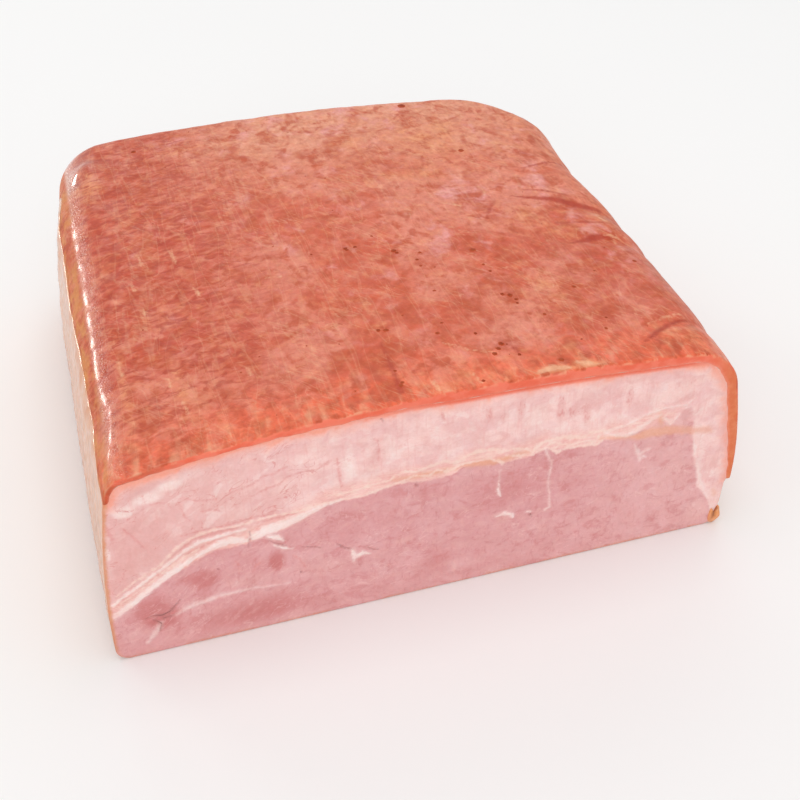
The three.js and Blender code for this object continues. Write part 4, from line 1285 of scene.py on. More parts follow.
def smoked_rind(colours, sizes):
    """Smoked skin: orange-red with browner, hazier and yellower places, and the rind's cut edge."""
    material, graph, shader, mm = new_material(
        "smoked_rind", Coat_Roughness=0.12, Subsurface_Radius=(1.0, 0.35, 0.2), Subsurface_Scale=0.0012,
        Subsurface_Weight=0.08, Specular_IOR_Level=0.24)
    between, times, plus, minus, noise, field, patches, ragged = graph.tools()
    x, y = graph.add("ShaderNodeSeparateXYZ", {0: mm}).outputs[:2]
    wander = times(minus(noise(mm, 12.0), 0.5), 16.0)
    wandering_x, wandering_y = plus(x, wander), plus(y, wander)
    left = between(wandering_x, -12.0, -52.0)
    front = between(wandering_y, -84.0, -68.0, 1.0, 0.0)
    turned = graph.add("ShaderNodeMapping", {"Vector": mm, "Rotation": (0, 0, -0.7)}).outputs[0]

    # Broad changes of colour, and soft clouds.
    broad = patches(mm, (24, 32, 24), 0.4, 0.6)
    colour = Paint(graph, broad, colours.rind, colours.rind_light)
    # Paler towards the back: partly the skin's tone, partly painted sheen.
    colour.lay(between(y, 0.0, 70.0, 0.0, 0.9), colours.rind_back_and_sheen)
    colour.lay(between(x, 60.0, 84.0, 0.0, 0.7), colours.rind_side)
    colour.lay(times(left, between(y, -80.0, -45.0, 0.4, 0.8)), colours.rind_left)
    near_left = times(between(x, -30.0, -60.0, 0.0, 0.6), between(y, -40.0, -75.0))
    colour.lay(near_left, colours.rind_light)
    near_right = times(between(x, 25.0, 60.0, 0.0, 0.5), between(y, -5.0, -45.0))
    colour.lay(near_right, colours.rind_left)
    colour.lay(front, colours.rind_front, 0.75)
    cloud = noise(mm, (8.0, 9.0, 8.0), 2.0, 0.5, 0.8)
    colour.lay(between(cloud, 0.5, 0.32, 0.0, 0.8), colours.rind_dark)
    colour.lay(between(cloud, 0.5, 0.68, 0.0, 0.6), colours.rind_light)

    # Haze, partly a bloom of fat and partly painted sheen, smoke and fat that shows through: where the
    # fields say, and strewn between.
    strewn = noise(mm, (6.0, 7.5, 6.0), 4.0, 0.55, 0.5)
    more = times(minus(strewn, 0.5), 5.0)
    haze = between(plus(field("haze"), more), 0.2, 1.7)
    haze = times(haze, between(y, -84.0, -10.0, 0.3, 0.85))
    colour.lay(times(haze, between(left, 0.0, 1.0, 1.0, 0.6)), colours.rind_haze_and_sheen)
    tan = ragged(minus(field("tan"), 0.6), mm, 0.7, 3.4, 0.8)
    colour.lay(tan, colours.rind_tan, 0.7)
    dark = ragged(minus(field("dark"), 0.6), mm, 0.7, 2.4, 0.7)
    dull = patches(mm, (4, 5, 4), 0.52, 0.7)
    dark = graph.value("MAXIMUM", dark, times(dull, 0.85))
    colour.lay(dark, colours.rind_dark, 0.92)

    # Short bands across the left part, where the skin's fibres pucker: painted shade darkens the sunk
    # bands and painted light pales the raised ones.
    bands = noise(mm, (4.6, 2.6, 4.6), 3.0, 0.5, 1.0)
    sunk_shade = times(between(bands, 0.52, 0.36), times(left, between(y, -84.0, -60.0, 0.4, 1.0)))
    raised_lit = times(between(bands, 0.52, 0.68), left)
    # painted shade in the sunk bands, painted light on the raised ones
    colour.lay(sunk_shade, colours.rind_red_and_shade, 0.7)
    colour.lay(raised_lit, colours.rind_light, 0.45)
    yellow = times(patches(mm, (4, 9, 4), 0.5, 0.7), left)
    colour.lay(yellow, colours.rind_tan, 0.15)

    # Wrinkles, soft streaks that run back from the cut, pores, painted shade in pits and creases, and pale
    # flecks and lines with painted highlights.
    wrinkles = graph.ridge(turned, (2.6, 15.0, 8.0), 0.03, 2.0, 0.8)
    faint = times(wrinkles, patches(mm, (14, 14, 14), 0.4, 0.6))
    colour.lay(times(faint, between(left, 0.0, 1.0, 0.24, 0.16)), colours.rind_cream_and_glint)
    long_lines = graph.ridge(mm, (4.0, 30.0, 9.0), 0.03, 2.0, 0.5)
    colour.lay(long_lines, colours.rind_cream_and_glint, 0.13)
    streaks = noise(mm, (2.6, 12.0, 4.0), 2.0, 0.5, 0.5)
    colour.lay(times(between(streaks, 0.5, 0.34), times(front, 0.2)), colours.rind_red_and_shade)
    near_cut = between(wandering_y, -87.0, -76.0, 1.0, 0.0)
    cream = times(between(streaks, 0.5, 0.7), near_cut)
    colour.lay(cream, colours.rind_cream_and_glint, 0.35)
    pores = graph.flecks(mm, (1.9, 2.4, 1.9), 0.45, 0.12)
    colour.lay(pores, colours.rind_cream_and_glint, 0.22)
    # painted shade in small pits
    pits = graph.flecks(turned, (3.1, 3.7, 3.1), 0.3, 0.13)
    colour.lay(pits, colours.rind_red_and_shade, 0.5)
    dots = graph.flecks(mm, (1.4, 1.6, 1.4), 0.6, 0.26)
    dots = times(times(dots, between(field("dark"), 0.35, 0.9)), between(x, -25.0, 5.0))
    colour.lay(dots, colours.speck_light, 0.6)
    # painted shade in the creases
    crease = ragged(field("crease"), mm, 0.3, 1.5, 0.7)
    colour.lay(crease, colours.rind_red_and_shade, 0.9)
    # pale flecks and painted highlights: glints and the lit lips of creases
    lip = ragged(field("lip"), mm, 0.45, 1.2, 0.5)
    colour.lay(lip, colours.rind_cream_and_glint, 0.6)
    shoulder = between(x, -76.0, -79.5)
    shoulder = times(shoulder, between(noise(mm, (3.0, 7.0, 3.0), 4.0), 0.4, 0.62, 0.15, 1.0))
    colour.lay(shoulder, colours.smoke_line)
    # fine mottle, partly painted sheen in its paler spots
    colour.mottle_and_sheen(noise(mm, (1.3, 1.6, 1.3), 3.0, 0.6), noise(mm, 4.0), 0.15)

    # The cut edge: orange-red, and paler where light passes near the fat.
    band = field("band")
    inner = ragged(minus(band, 0.82), mm, 0.1, 1.8, 0.24)
    tone = patches(mm, (7, 7, 5), 0.42, 0.6)
    edge = Paint(graph, tone, colours.rind_cut, colours.rind_cut_light)
    edge.lay(times(tone, between(x, -58.0, -72.0, 0.0, 0.8)), colours.rind_dark)
    inner = times(inner, between(x, 60.0, 76.0, 0.35, 0.9))
    edge.lay(inner, colours.rind_glow)
    gaps = times(between(band, 0.4, 0.0), patches(mm, (3.4, 5, 5), 0.5, 0.66))
    edge.lay(gaps, colours.rind_cream_and_glint, 0.6)
    side = graph.blend(patches(mm, (2.4, 3, 2.4), 0.4, 0.7), colours.rind_side, colours.rind_tan, 0.4)
    edge.lay(times(between(x, 68.0, 79.0, 0.0, 0.9), between(inner, 0.0, 1.0, 1.0, 0.3)), side)
    on_cut = times(between(plus(band, between(streaks, 0.35, 0.65, -0.1, 0.1)), 0.0, 0.2),
                   between(field("cut"), 0.2, 0.8))
    colour.lay(on_cut, edge.shown)

    # Unevenness too small for the mesh, and grease, which lies thickest along the left shoulder.
    bump = noise(mm, (2.0, 3.0, 2.0), 3.0, 0.5)
    bump = plus(bump, times(wrinkles, 0.1))
    bump = plus(bump, times(minus(raised_lit, sunk_shade), 0.25))
    bump = times(bump, between(x, -66.0, -73.0, 1.0, 0.15))
    bump = plus(bump, times(noise(mm, (0.5, 0.6, 0.5), 3.0), between(x, -71.0, -75.0, 0.3, 2.2)))
    rough = between(noise(mm, 3.0, 3.0, 0.6), 0.3, 0.7, 0.42, 0.6)
    rough = plus(rough, between(x, -73.0, -75.5, 0.0, -0.27))
    rough = plus(rough, between(x, -77.0, -79.0, 0.0, 0.5))
    grease = between(noise(mm, (3.0, 5.0, 3.0), 3.0), 0.4, 0.62, 0.04, sizes.rind_gloss)
    coat = times(grease, between(x, -48.0, -68.0, 0.25, 0.6))
    corner = times(between(x, -66.0, -70.0, 0.0, 0.8), between(y, 48.0, 54.0))
    coat = graph.value("MAXIMUM", coat, corner)
    coat = times(coat, between(x, -77.2, -78.6, 1.0, 0.1))
    connect(graph, shader, Base_Color=colour.shown, Roughness=rough, Coat_Weight=coat,
            Normal=bumped(graph, bump, sizes.wrinkle_depth))
    return material


def bacon_meat(colours, sizes):
    """Fat over lean, with white fat between the layers, and smoked walls."""
    material, graph, shader, mm = new_material(
        "bacon_meat", Coat_Roughness=0.16, Subsurface_Radius=(1.0, 0.45, 0.35), Subsurface_Scale=0.0014,
        Subsurface_Weight=0.2, Specular_IOR_Level=0.35)
    between, times, plus, minus, noise, field, patches, ragged = graph.tools()
    x, y, z = graph.add("ShaderNodeSeparateXYZ", {0: mm}).outputs
    lean_in, pink, rose = field("lean"), field("pink"), field("rose")

    # Fat: pinker on the left, with a crackle of red lines there and clusters of strokes on the right.
    tilt = minus(z, between(x, -85.0, -30.0, -22.0, 0.0))
    along = graph.add("ShaderNodeCombineXYZ", {0: x, 1: y, 2: tilt}).outputs[0]
    on_left = between(x, -15.0, -38.0)
    broad = patches(mm, (9, 9, 7), 0.4, 0.6)
    fat = Paint(graph, broad, colours.fat, colours.fat_pale)
    fat.lay(between(x, -34.0, -64.0, 0.0, 0.8), colours.fat_left)
    cloud = noise(along, (4.4, 6.0, 3.4), 3.0, 0.5, 0.6)
    fat.lay(between(cloud, 0.52, 0.68, 0.0, 0.35), colours.fat_pink)
    fat.lay(between(cloud, 0.48, 0.32, 0.0, 0.4), colours.white)
    fat.lay(between(pink, 0.1, 0.9, 0.0, 0.6), colours.fat_pink)
    fat.lay(between(pink, -0.1, -0.9, 0.0, 0.8), colours.white)
    some = patches(mm, (10, 10, 8), 0.4, 0.56)
    web = times(graph.ridge(along, (7.5, 9.0, 3.6), 0.017, 4.0, 1.0), some)
    fat.lay(times(web, between(on_left, 0.0, 1.0, 0.2, 0.75)), colours.vein)
    upright = noise(mm, (0.7, 3.0, 7.0), 2.0, 0.5, 0.4)
    fat.lay(between(upright, 0.54, 0.68, 0.0, 0.22), colours.vein_soft)
    strokes = between(noise(mm, (1.0, 3.0, 2.4), 3.0, 0.6, 1.2), 0.48, 0.62)
    strokes = times(strokes, between(pink, 0.12, 0.7))
    strokes = times(strokes, between(x, -12.0, 2.0, 0.0, 0.6))
    fat.lay(strokes, colours.vein)

    # Under the rind it is peach, and reddest next to it.
    below = plus(field("under"), between(cloud, 0.3, 0.7, -0.8, 0.8))
    at_right = between(x, 68.0, 77.0, 1.0, 0.55)
    fat.lay(times(between(below, 0.2, 4.0, 0.8, 0.0), at_right), colours.fat_under)
    fat.lay(times(between(below, 0.2, 2.2, 0.8, 0.0), at_right), colours.rind_glow)
    stained = times(between(x, -30.0, 5.0), between(x, 74.0, 62.0))
    fat.lay(times(between(field("under"), 0.4, 1.7, 0.9, 0.0), stained), colours.rind_cut)

    # The seam above the lean: cream lines and rose gaps that follow the layers.
    seam = times(between(lean_in, -6.5, -3.0), between(x, 66.0, 60.0))
    fat.lay(seam, colours.fat_under, 0.3)
    gaps = times(graph.ridge(along, (9.0, 9.0, 1.5), 0.03, 3.0, 0.6), seam)
    fat.lay(gaps, colours.vein_soft, 0.45)
    shifted = graph.vector("ADD", along, (31.0, 0.0, 17.0))
    net = times(graph.ridge(shifted, (7.0, 9.0, 1.5), 0.05, 3.0, 0.7), seam)
    fat.lay(net, colours.cream, 0.5)

    # Lean: rose muscle with paler places, films and faint fibres.
    muscle = patches(mm, (13, 13, 8), 0.38, 0.62)
    lean = Paint(graph, muscle, colours.lean, colours.lean_rose)
    lean.lay(between(z, 22.0, 2.0, 0.0, 0.5), colours.lean_low)
    lean.lay(between(x, 25.0, 65.0, 0.0, 0.75), colours.lean_right)
    lean.lay(between(rose, 0.05, 0.95, 0.0, 0.9), colours.lean_deep)
    lean.lay(between(rose, -0.05, -0.9, 0.0, 0.7), colours.fat_left)
    grain = noise(along, (4.0, 5.0, 2.6), 4.0, 0.55, 0.8)
    lean.lay(between(grain, 0.52, 0.68, 0.0, 0.4), colours.lean_deep)
    lean.lay(between(grain, 0.48, 0.32, 0.0, 0.35), colours.fat_left)
    films = times(graph.ridge(along, (6.5, 8.0, 3.8), 0.016, 4.0, 1.0), some)
    lean.lay(films, colours.fat_pale, 0.35)
    threads = noise(mm, (1.1, 3.0, 3.0), 3.0, 0.55, 0.8)
    lean.lay(between(threads, 0.54, 0.7, 0.0, 0.3), colours.lean_deep)
    dots = graph.flecks(mm, (2.9, 2.9, 2.5), 0.25, 0.14)
    lean.lay(dots, colours.fat_pale, 0.25)
    is_lean = ragged(lean_in, mm, 0.5, 2.4, 0.5)
    high = times(between(z, 38.5, 43.0), between(x, 50.0, 58.0))
    is_lean = times(is_lean, between(high, 0.0, 1.0, 1.0, 0.45))
    colour = Paint(graph, is_lean, fat.shown, lean.shown)

    # What lies along lines. On the right they are softer.
    tan = ragged(field("tan_line"), mm, 0.4, 2.0, 0.9)
    colour.lay(times(tan, between(x, 56.0, 76.0, 0.85, 0.5)), colours.tan)
    vein = ragged(field("vein"), mm, 0.45, 1.0, 0.4)
    colour.lay(vein, colours.vein, 0.6)
    glow = ragged(field("vein"), mm, 0.4, 1.5, 1.1)
    colour.lay(glow, colours.vein_soft, 0.25)
    cream = ragged(field("cream"), mm, 0.55, 1.5, 0.45)
    colour.lay(cream, colours.cream, 0.8)
    crisp = ragged(field("white"), mm, 0.5, 1.3, 0.3)
    soft = ragged(field("white"), mm, 0.5, 2.0, 0.9)
    firm = times(between(x, 10.0, 40.0, 0.5, 0.15), between(z, 16.0, 20.0, 0.2, 1.0))
    white = plus(times(crisp, firm), times(soft, 0.5))
    fold = graph.ridge(along, (8.0, 9.0, 1.0), 0.025, 3.0, 0.6)
    white = times(white, between(fold, 0.0, 1.0, 1.0, 0.6))
    colour.lay(white, colours.white)
    # painted shade in the cracks, darkest in the pits
    shaded_crack_in = field("crack")
    crack = ragged(shaded_crack_in, mm, 0.35, 1.0, 0.4)
    colour.lay(crack, colours.crack, 0.6)
    pit_shade = between(shaded_crack_in, 0.2, 0.4)
    colour.lay(pit_shade, colours.pit_shade, 0.6)

    # The smoked walls, and the rim of the cut next to them.
    wall = Paint(graph, is_lean, colours.wall_fat, colours.wall_lean)
    wall_tone = patches(mm, (7, 9, 5), 0.42, 0.6)
    wall.lay(wall_tone, colours.wall_dark, 0.6)
    wall_light = patches(mm, (4, 6, 2.6), 0.55, 0.66)
    wall.lay(wall_light, colours.fat_left, 0.6)
    rim = plus(between(x, -70.0, -80.0, 0.1, 0.8), times(some, between(z, 3.0, 0.5, 0.0, 1.2)))
    rim = minus(rim, field("edge"))
    near = ragged(rim, mm, 0.35, 1.8, 0.6)
    off_cut = between(field("cut"), 0.7, 0.1)
    colour.lay(off_cut, wall.shown)
    colour.lay(times(near, between(z, 2.0, 6.0, 0.35, 0.75)), colours.smoke_line)
    # fine mottle, partly painted sheen in its paler spots
    colour.mottle_and_sheen(noise(mm, 0.7, 3.0, 0.6), noise(mm, 5.0), 0.06)

    bump = noise(mm, (2.0, 3.0, 2.0), 3.0, 0.5)
    bump = plus(bump, times(threads, 0.3))
    bump = minus(bump, times(crack, 0.5))
    bump = plus(bump, times(white, 0.35))
    rough = between(noise(mm, 2.2, 3.0, 0.6), 0.3, 0.7, 0.4, 0.62)
    rough = minus(rough, times(off_cut, 0.12))
    wet = between(noise(mm, 5.0, 2.0), 0.4, 0.65, 0.02, sizes.cut_moisture)
    coat = graph.value("MAXIMUM", wet, times(off_cut, sizes.wall_gloss))
    connect(graph, shader, Base_Color=colour.shown, Roughness=rough, Coat_Weight=coat,
            Normal=bumped(graph, bump, sizes.grain_depth))
    return material


def speck_finish(colours):
    material, graph, shader, mm = new_material("smoke_specks", Roughness=0.6, Specular_IOR_Level=0.12)
    tone = graph.noise(mm, 2.5, 2.0)
    brown = graph.blend(graph.between(tone, 0.35, 0.65), colours.speck, colours.speck_light)
    core = graph.between(graph.field("rise"), 0.25, 0.95)
    colour = graph.blend(core, colours.rind_dark, brown)
    connect(graph, shader, Base_Color=colour, Normal=bumped(graph, graph.noise(mm, 0.25, 2.0), 0.00005))
    return material


def curl_finish(colours):
    """Dried brown scrap: tan in patches and dark in its roll."""
    material, graph, shader, mm = new_material("foot_curl", Coat_Weight=0.2, Coat_Roughness=0.25)
    tone = graph.patches(mm, (1.6, 4, 1.8), 0.4, 0.62)
    colour = graph.blend(tone, colours.curl, colours.rind_tan)
    # painted shade darkens the roll where the scrap turns in
    roll = graph.times(graph.field("inner"), graph.between(graph.field("front"), 0.0, 0.6))
    colour = graph.blend(roll, colour, colours.curl_roll_shade, 0.85)
    rough = graph.between(graph.noise(mm, 1.0, 2.0), 0.3, 0.7, 0.35, 0.55)
    connect(graph, shader, Base_Color=colour, Roughness=rough,
            Normal=bumped(graph, graph.noise(mm, (0.6, 1.5, 0.6), 3.0), 0.0002))
    return material


def floor_finish(colours):
    material, graph, shader, mm = new_material("studio_floor", Specular_IOR_Level=0.1)
    tone = graph.between(graph.noise(mm, 400.0, 1.0), 0.3, 0.7)
    colour = graph.blend(tone, colours.floor, [c * 0.985 for c in colours.floor])
    rough = graph.between(graph.noise(mm, 60.0, 2.0), 0.3, 0.7, 0.85, 0.95)
    connect(graph, shader, Base_Color=colour, Roughness=rough)
    return material


# ---- Settings ----
def tint(name, description, linear):
    return bpy.props.FloatVectorProperty(
        name=name, description=description, default=linear, size=3, subtype="COLOR", min=0.0, max=1.0)


def length(name, description, metres):
    return bpy.props.FloatProperty(
        name=name, description=description, default=metres, min=0.0, subtype="DISTANCE", unit="LENGTH",
        precision=5)


class BACON_PG_sizes(bpy.types.PropertyGroup):
    """Sizes that change how the surfaces look."""

    skin_swell: length("Skin swell", "Height of the broad unevenness of the skin", 0.0002)
    skin_relief: length("Skin relief", "Height of the fine unevenness of the skin", 0.00006)
    wall_relief: length("Wall relief", "Height of the unevenness of the smoked walls", 0.0004)
    wrinkle_depth: length("Wrinkle depth", "Depth of the wrinkles in the skin", 0.00016)
    grain_depth: length("Grain depth", "Depth of the grain of the cut", 0.00014)
    speck_smallest: length("Smallest speck", "Half width of the smallest strewn specks", 0.00012)
    speck_largest: length("Largest speck", "Half width of the largest strewn specks", 0.0003)
    specks_per_area: bpy.props.FloatProperty(
        name="Specks", description="Strewn specks on each square metre of skin", default=2500.0, min=0.0)
    rind_gloss: bpy.props.FloatProperty(
        name="Rind gloss", description="Strength of the greasy coat", default=0.45, min=0.0, max=1.0,
        subtype="FACTOR")
    wall_gloss: bpy.props.FloatProperty(
        name="Wall gloss", description="The same for the smoked walls", default=0.8,
        min=0.0, max=1.0, subtype="FACTOR")
    cut_moisture: bpy.props.FloatProperty(
        name="Cut moisture", description="Strength of the moist coat of the cut", default=0.3, min=0.0,
        max=1.0, subtype="FACTOR")


class BACON_PG_colours(bpy.types.PropertyGroup):
    """Colours of the rind, the meat and the stage."""

    rind: tint("Rind", "Skin in the middle", (0.64, 0.112, 0.054))
    # partly painted sheen
    rind_light: tint("Light rind", "Lighter skin", (0.75, 0.235, 0.155))
    rind_back_and_sheen: tint("Rind at the back", "Skin towards the back", (0.78, 0.335, 0.21))
    rind_side: tint("Rind on the right", "Skin on the right side", (0.70, 0.17, 0.06))
    rind_left: tint("Rind on the left", "Redder skin on the left", (0.555, 0.068, 0.033))
    rind_front: tint("Rind at the cut", "Orange skin next to the cut", (0.89, 0.148, 0.060))
    # partly painted sheen
    rind_haze_and_sheen: tint("Haze", "Whitish bloom of fat", (0.82, 0.34, 0.325))
    rind_tan: tint("Tan", "Yellower smoked places", (0.83, 0.335, 0.155))
    # also the colour of painted glints
    rind_cream_and_glint: tint("Cream", "Flecks of fat in the skin", (0.90, 0.50, 0.30))
    rind_dark: tint("Dark rind", "Browner smoked places", (0.53, 0.083, 0.028))
    # a deep red for streaks at the cut, and painted shade in puckers, pits and creases
    rind_red_and_shade: tint("Puckers", "Low places between fibres", (0.45, 0.052, 0.024))
    rind_cut: tint("Cut edge of the rind", "The rind where it is cut", (0.84, 0.145, 0.075))
    rind_cut_light: tint("Light cut edge", "Lighter cut edge", (0.89, 0.20, 0.12))
    rind_glow: tint("Inside of the cut edge", "Where the rind meets fat", (0.93, 0.34, 0.24))
    fat: tint("Fat", "Fat in the middle", (0.87, 0.53, 0.51))
    fat_pale: tint("Pale fat", "Paler places in the fat", (0.93, 0.62, 0.585))
    fat_left: tint("Fat on the left", "Pinker fat on the left", (0.82, 0.46, 0.435))
    fat_pink: tint("Pink fat", "Rose places in the fat", (0.79, 0.40, 0.375))
    fat_under: tint("Fat under the rind", "Peach fat just under the rind", (0.95, 0.45, 0.36))
    white: tint("White fat", "White fat between the layers", (0.97, 0.76, 0.72))
    cream: tint("Cream lines", "Lines that net the seam", (0.95, 0.68, 0.60))
    tan: tint("Tan strip", "Smoke in the layers", (0.84, 0.41, 0.28))
    vein: tint("Veins", "Red lines in the fat", (0.74, 0.28, 0.26))
    vein_soft: tint("Around veins", "Rose around the veins", (0.80, 0.38, 0.36))
    lean: tint("Lean", "Lean in the middle", (0.76, 0.385, 0.39))
    lean_rose: tint("Rose lean", "Deeper rose lean", (0.73, 0.34, 0.345))
    lean_low: tint("Lean below", "Lean near the underside", (0.77, 0.39, 0.385))
    lean_right: tint("Lean on the right", "Lean on the right", (0.80, 0.43, 0.425))
    lean_deep: tint("Deep lean", "Deepest rose in the lean", (0.62, 0.20, 0.195))
    # painted shade in cracks
    crack: tint("Cracks", "Small splits in the cut", (0.50, 0.19, 0.18))
    # painted shade in pits
    pit_shade: tint("Pits", "Dark pits in the cut", (0.20, 0.05, 0.04))
    wall_fat: tint("Smoked fat", "Fat on the smoked walls", (0.74, 0.40, 0.24))
    wall_lean: tint("Smoked lean", "Lean on the smoked walls", (0.52, 0.18, 0.12))
    wall_dark: tint("Dark smoke", "Darker smoked walls", (0.52, 0.22, 0.11))
    speck: tint("Specks", "Smoke specks on the skin", (0.30, 0.045, 0.015))
    speck_light: tint("Light specks", "Lighter smoke specks", (0.42, 0.08, 0.03))
    smoke_line: tint("Smoke line", "Ochre on the left shoulder", (0.68, 0.25, 0.085))
    curl: tint("Scrap", "Rolled scrap", (0.85, 0.33, 0.10))
    # painted shade in the scrap's roll
    curl_roll_shade: tint("Inside of the scrap", "Dark roll of the scrap", (0.36, 0.09, 0.025))
    floor: tint("Floor", "Studio floor", (0.95, 0.95, 0.95))


# ---- Making the pieces ----
def new_piece(name, mesh, material):
    """An object at the origin with a mesh and one material."""
    piece = bpy.data.objects.new(name, mesh)
    bpy.context.scene.collection.objects.link(piece)
    mesh.materials.clear()
    mesh.materials.append(material)
    return piece


def declare(piece):
    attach(piece, BODY)
    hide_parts(NODE)


def marks_on(skin, marks):
    """Points on a skin under flat places, with their width and the skin's normal."""
    skin.data.update()
    corners, faces = [v.co for v in skin.data.vertices], [p.vertices for p in skin.data.polygons]
    tree = BVHTree.FromPolygons(corners, faces)
    points, widths, ups = [], [], []
    for x, y, width in marks:
        start = Vector(((x - SLAB_MIDDLE[0]) * MM, (y - SLAB_MIDDLE[1]) * MM, 0.2))
        place, normal, _, _ = tree.ray_cast(start, Vector((0, 0, -1)))
        if place is None:
            raise RuntimeError(f"no skin under the mark at {x}, {y}")
        points.append(place)
        widths.append(width * MM)
        ups.append(normal)
    return points, widths, ups


class MakesPiece:
    """What the operators share: they show up in the sidebar and can be undone."""

    bl_options = {"REGISTER", "UNDO"}

    @property
    def sizes(self):
        return bpy.context.scene.bacon_sizes

    @property
    def colours(self):
        return bpy.context.scene.bacon_colours


class BACON_OT_rind(MakesPiece, bpy.types.Operator):
    """Make the smoked rind that wraps the slab's top, right side and back"""

    bl_idname = "bacon.rind"
    bl_label = "Rind"

    def execute(self, context):
        material = smoked_rind(self.colours, self.sizes)
        piece = new_piece("rind", rind_surface().mesh("rind"), material)
        for height, size in ((self.sizes.skin_swell, (0.011, 0.016, 0.011)),
                             (self.sizes.skin_relief, (0.0028, 0.005, 0.0028))):
            run_tree(piece, "Skin relief", Height=height, Size=size, Material=material)
        declare(piece)
        return {"FINISHED"}


class BACON_OT_meat(MakesPiece, bpy.types.Operator):
    """Make the fat and the lean, with the cut face and the smoked walls"""

    bl_idname = "bacon.meat"
    bl_label = "Meat"

    def execute(self, context):
        material = bacon_meat(self.colours, self.sizes)
        piece = new_piece("meat", meat_surface().mesh("meat"), material)
        run_tree(piece, "Skin relief", Height=self.sizes.wall_relief, Size=(0.007, 0.009, 0.005),
                 Material=material)
        declare(piece)
        return {"FINISHED"}


class BACON_OT_foot_curl(MakesPiece, bpy.types.Operator):
    """Make the small rolled scrap at the cut's right foot"""

    bl_idname = "bacon.foot_curl"
    bl_label = "Rolled scrap"

    def execute(self, context):
        piece = new_piece("foot_curl", curl_surface().mesh("foot_curl"), curl_finish(self.colours))
        declare(piece)
        return {"FINISHED"}


class BACON_OT_specks(MakesPiece, bpy.types.Operator):
    """Make the smoke specks that lie on the rind"""

    bl_idname = "bacon.specks"
    bl_label = "Smoke specks"

    def execute(self, context):
        skin = bpy.data.objects.get("rind")
        if skin is None:
            raise RuntimeError("the specks need the rind")
        points, widths, ups = marks_on(skin, BROWN_MARKS)
        mesh = skin.data.copy()
        mesh.name = "smoke_specks"
        first = len(mesh.vertices)
        mesh.vertices.add(len(points))
        mesh.vertices.foreach_set("co", np.concatenate([
            np.array([v.co for v in skin.data.vertices]).ravel(), np.array(points).ravel()]))
        held_values = ("width", "FLOAT", "value", widths), ("up", "FLOAT_VECTOR", "vector", ups)
        for name, kind, key, values in held_values:
            attribute = mesh.attributes.new(name, kind, "POINT")
            held = np.zeros((len(mesh.vertices), 1 if kind == "FLOAT" else 3))
            held[first:] = np.array(values).reshape(len(points), -1)
            attribute.data.foreach_set(key, held.ravel())
        material = speck_finish(self.colours)
        piece = new_piece("smoke_specks", mesh, material)
        sizes = self.sizes
        run_tree(piece, "Smoke specks", Density=sizes.specks_per_area, Smallest=sizes.speck_smallest,
                 Largest=sizes.speck_largest, Material=material)
        declare(piece)
        return {"FINISHED"}


# ---- The stage ----
EYE = Vector((-67.7, -285.8, 232.7)) * MM
AIM = Vector((4.01, -36.69, 23.61)) * MM
ROLL = math.radians(-0.86)
LENS = 51.75
LIGHTS = [    # name, place from the slab's middle in metres, width and height, watts and colour
    ("key_light", (-0.35, -1.5, 1.05), (1.6, 1.0), 9.5, (1.0, 0.99, 0.97)),
    ("top_light", (0.0, -0.1, 1.9), (1.4, 1.4), 8.0, (1.0, 0.99, 0.98)),
    ("back_light", (0.45, 1.5, 1.25), (1.8, 0.9), 5.0, (1.0, 0.99, 0.98)),
    ("shoulder_light", (-1.14, 1.52, 0.26), (0.5, 0.11), 6.5, (1.0, 0.96, 0.90)),
]
WORLD_LIGHT = 0.6


def stage_camera():
    camera = bpy.data.objects.new("camera", bpy.data.cameras.new("camera"))
    bpy.context.scene.collection.objects.link(camera)
    camera.data.lens, camera.data.sensor_width = LENS, 36.0
    ahead = (AIM - EYE).normalized()
    right = ahead.cross(Vector((0, 0, 1))).normalized()
    up = right.cross(ahead)
    turned_right = right * math.cos(ROLL) + up * math.sin(ROLL)
    turned_up = up * math.cos(ROLL) - right * math.sin(ROLL)
    turn = Matrix((turned_right, turned_up, -ahead)).transposed()
    camera.matrix_world = Matrix.Translation(EYE) @ turn.to_4x4()
    bpy.context.scene.camera = camera


def stage_light(name, place, size, watts, colour):
    lamp = bpy.data.lights.new(name, "AREA")
    lamp.shape, lamp.size, lamp.size_y = "RECTANGLE", size[0], size[1]
    lamp.energy, lamp.color = watts, colour
    light = bpy.data.objects.new(name, lamp)
    bpy.context.scene.collection.objects.link(light)
    light.location = place
    light.rotation_euler = (Vector((0, 0, 0.04)) - Vector(place)).to_track_quat("-Z", "Y").to_euler()


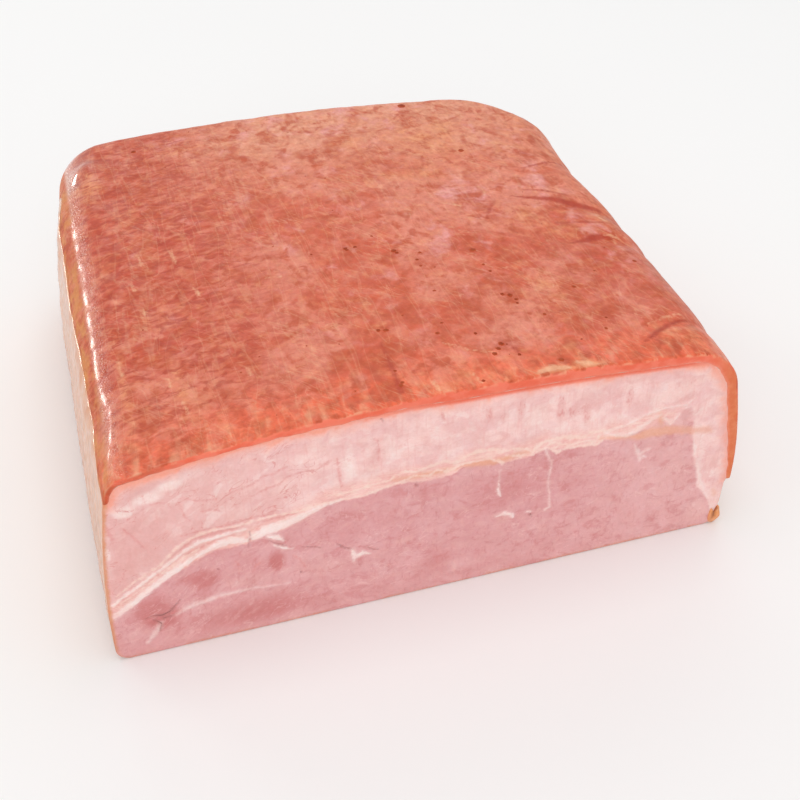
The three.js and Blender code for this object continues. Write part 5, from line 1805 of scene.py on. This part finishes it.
class BACON_OT_stage(MakesPiece, bpy.types.Operator):
    """Make the pale floor, the soft lights and the camera"""

    bl_idname = "bacon.stage"
    bl_label = "Stage"

    def execute(self, context):
        half, grid = 3.0, bmesh.new()
        bmesh.ops.create_grid(grid, x_segments=4, y_segments=4, size=half)
        mesh = bpy.data.meshes.new("studio_floor")
        grid.to_mesh(mesh)
        grid.free()
        floor = new_piece("studio_floor", mesh, floor_finish(self.colours))
        for light in LIGHTS:
            stage_light(*light)
        world = bpy.data.worlds.new("studio")
        world.use_nodes = True
        world.node_tree.nodes["Background"].inputs["Color"].default_value = (1, 1, 1, 1)
        world.node_tree.nodes["Background"].inputs["Strength"].default_value = WORLD_LIGHT
        context.scene.world = world
        context.scene.view_settings.view_transform = "Standard"
        stage_camera()
        return {"FINISHED"}


# ---- Panel and registration ----
OPERATORS = (BACON_OT_rind, BACON_OT_meat, BACON_OT_foot_curl, BACON_OT_specks, BACON_OT_stage)


class BACON_PT_panel(bpy.types.Panel):
    """Buttons that make the pieces, and their sizes and colours"""

    bl_label = "Smoked bacon"
    bl_idname = "BACON_PT_panel"
    bl_space_type = "VIEW_3D"
    bl_region_type = "UI"
    bl_category = "Bacon"

    def draw(self, context):
        column = self.layout.column(align=True)
        for operator in OPERATORS:
            column.operator(operator.bl_idname)
        for settings in (context.scene.bacon_sizes, context.scene.bacon_colours):
            column = self.layout.column()
            for name in settings.__annotations__:
                column.prop(settings, name)


CLASSES = (BACON_PG_sizes, BACON_PG_colours, *OPERATORS, BACON_PT_panel)


def register():
    for kind in CLASSES:
        bpy.utils.register_class(kind)
    bpy.types.Scene.bacon_sizes = bpy.props.PointerProperty(type=BACON_PG_sizes)
    bpy.types.Scene.bacon_colours = bpy.props.PointerProperty(type=BACON_PG_colours)


def unregister():
    del bpy.types.Scene.bacon_colours, bpy.types.Scene.bacon_sizes
    for kind in reversed(CLASSES):
        bpy.utils.unregister_class(kind)


def main():
    register()
    bpy.ops.bacon.rind()
    bpy.ops.bacon.meat()
    bpy.ops.bacon.foot_curl()
    bpy.ops.bacon.specks()
    bpy.ops.bacon.stage()


if __name__ == "__main__":
    main()
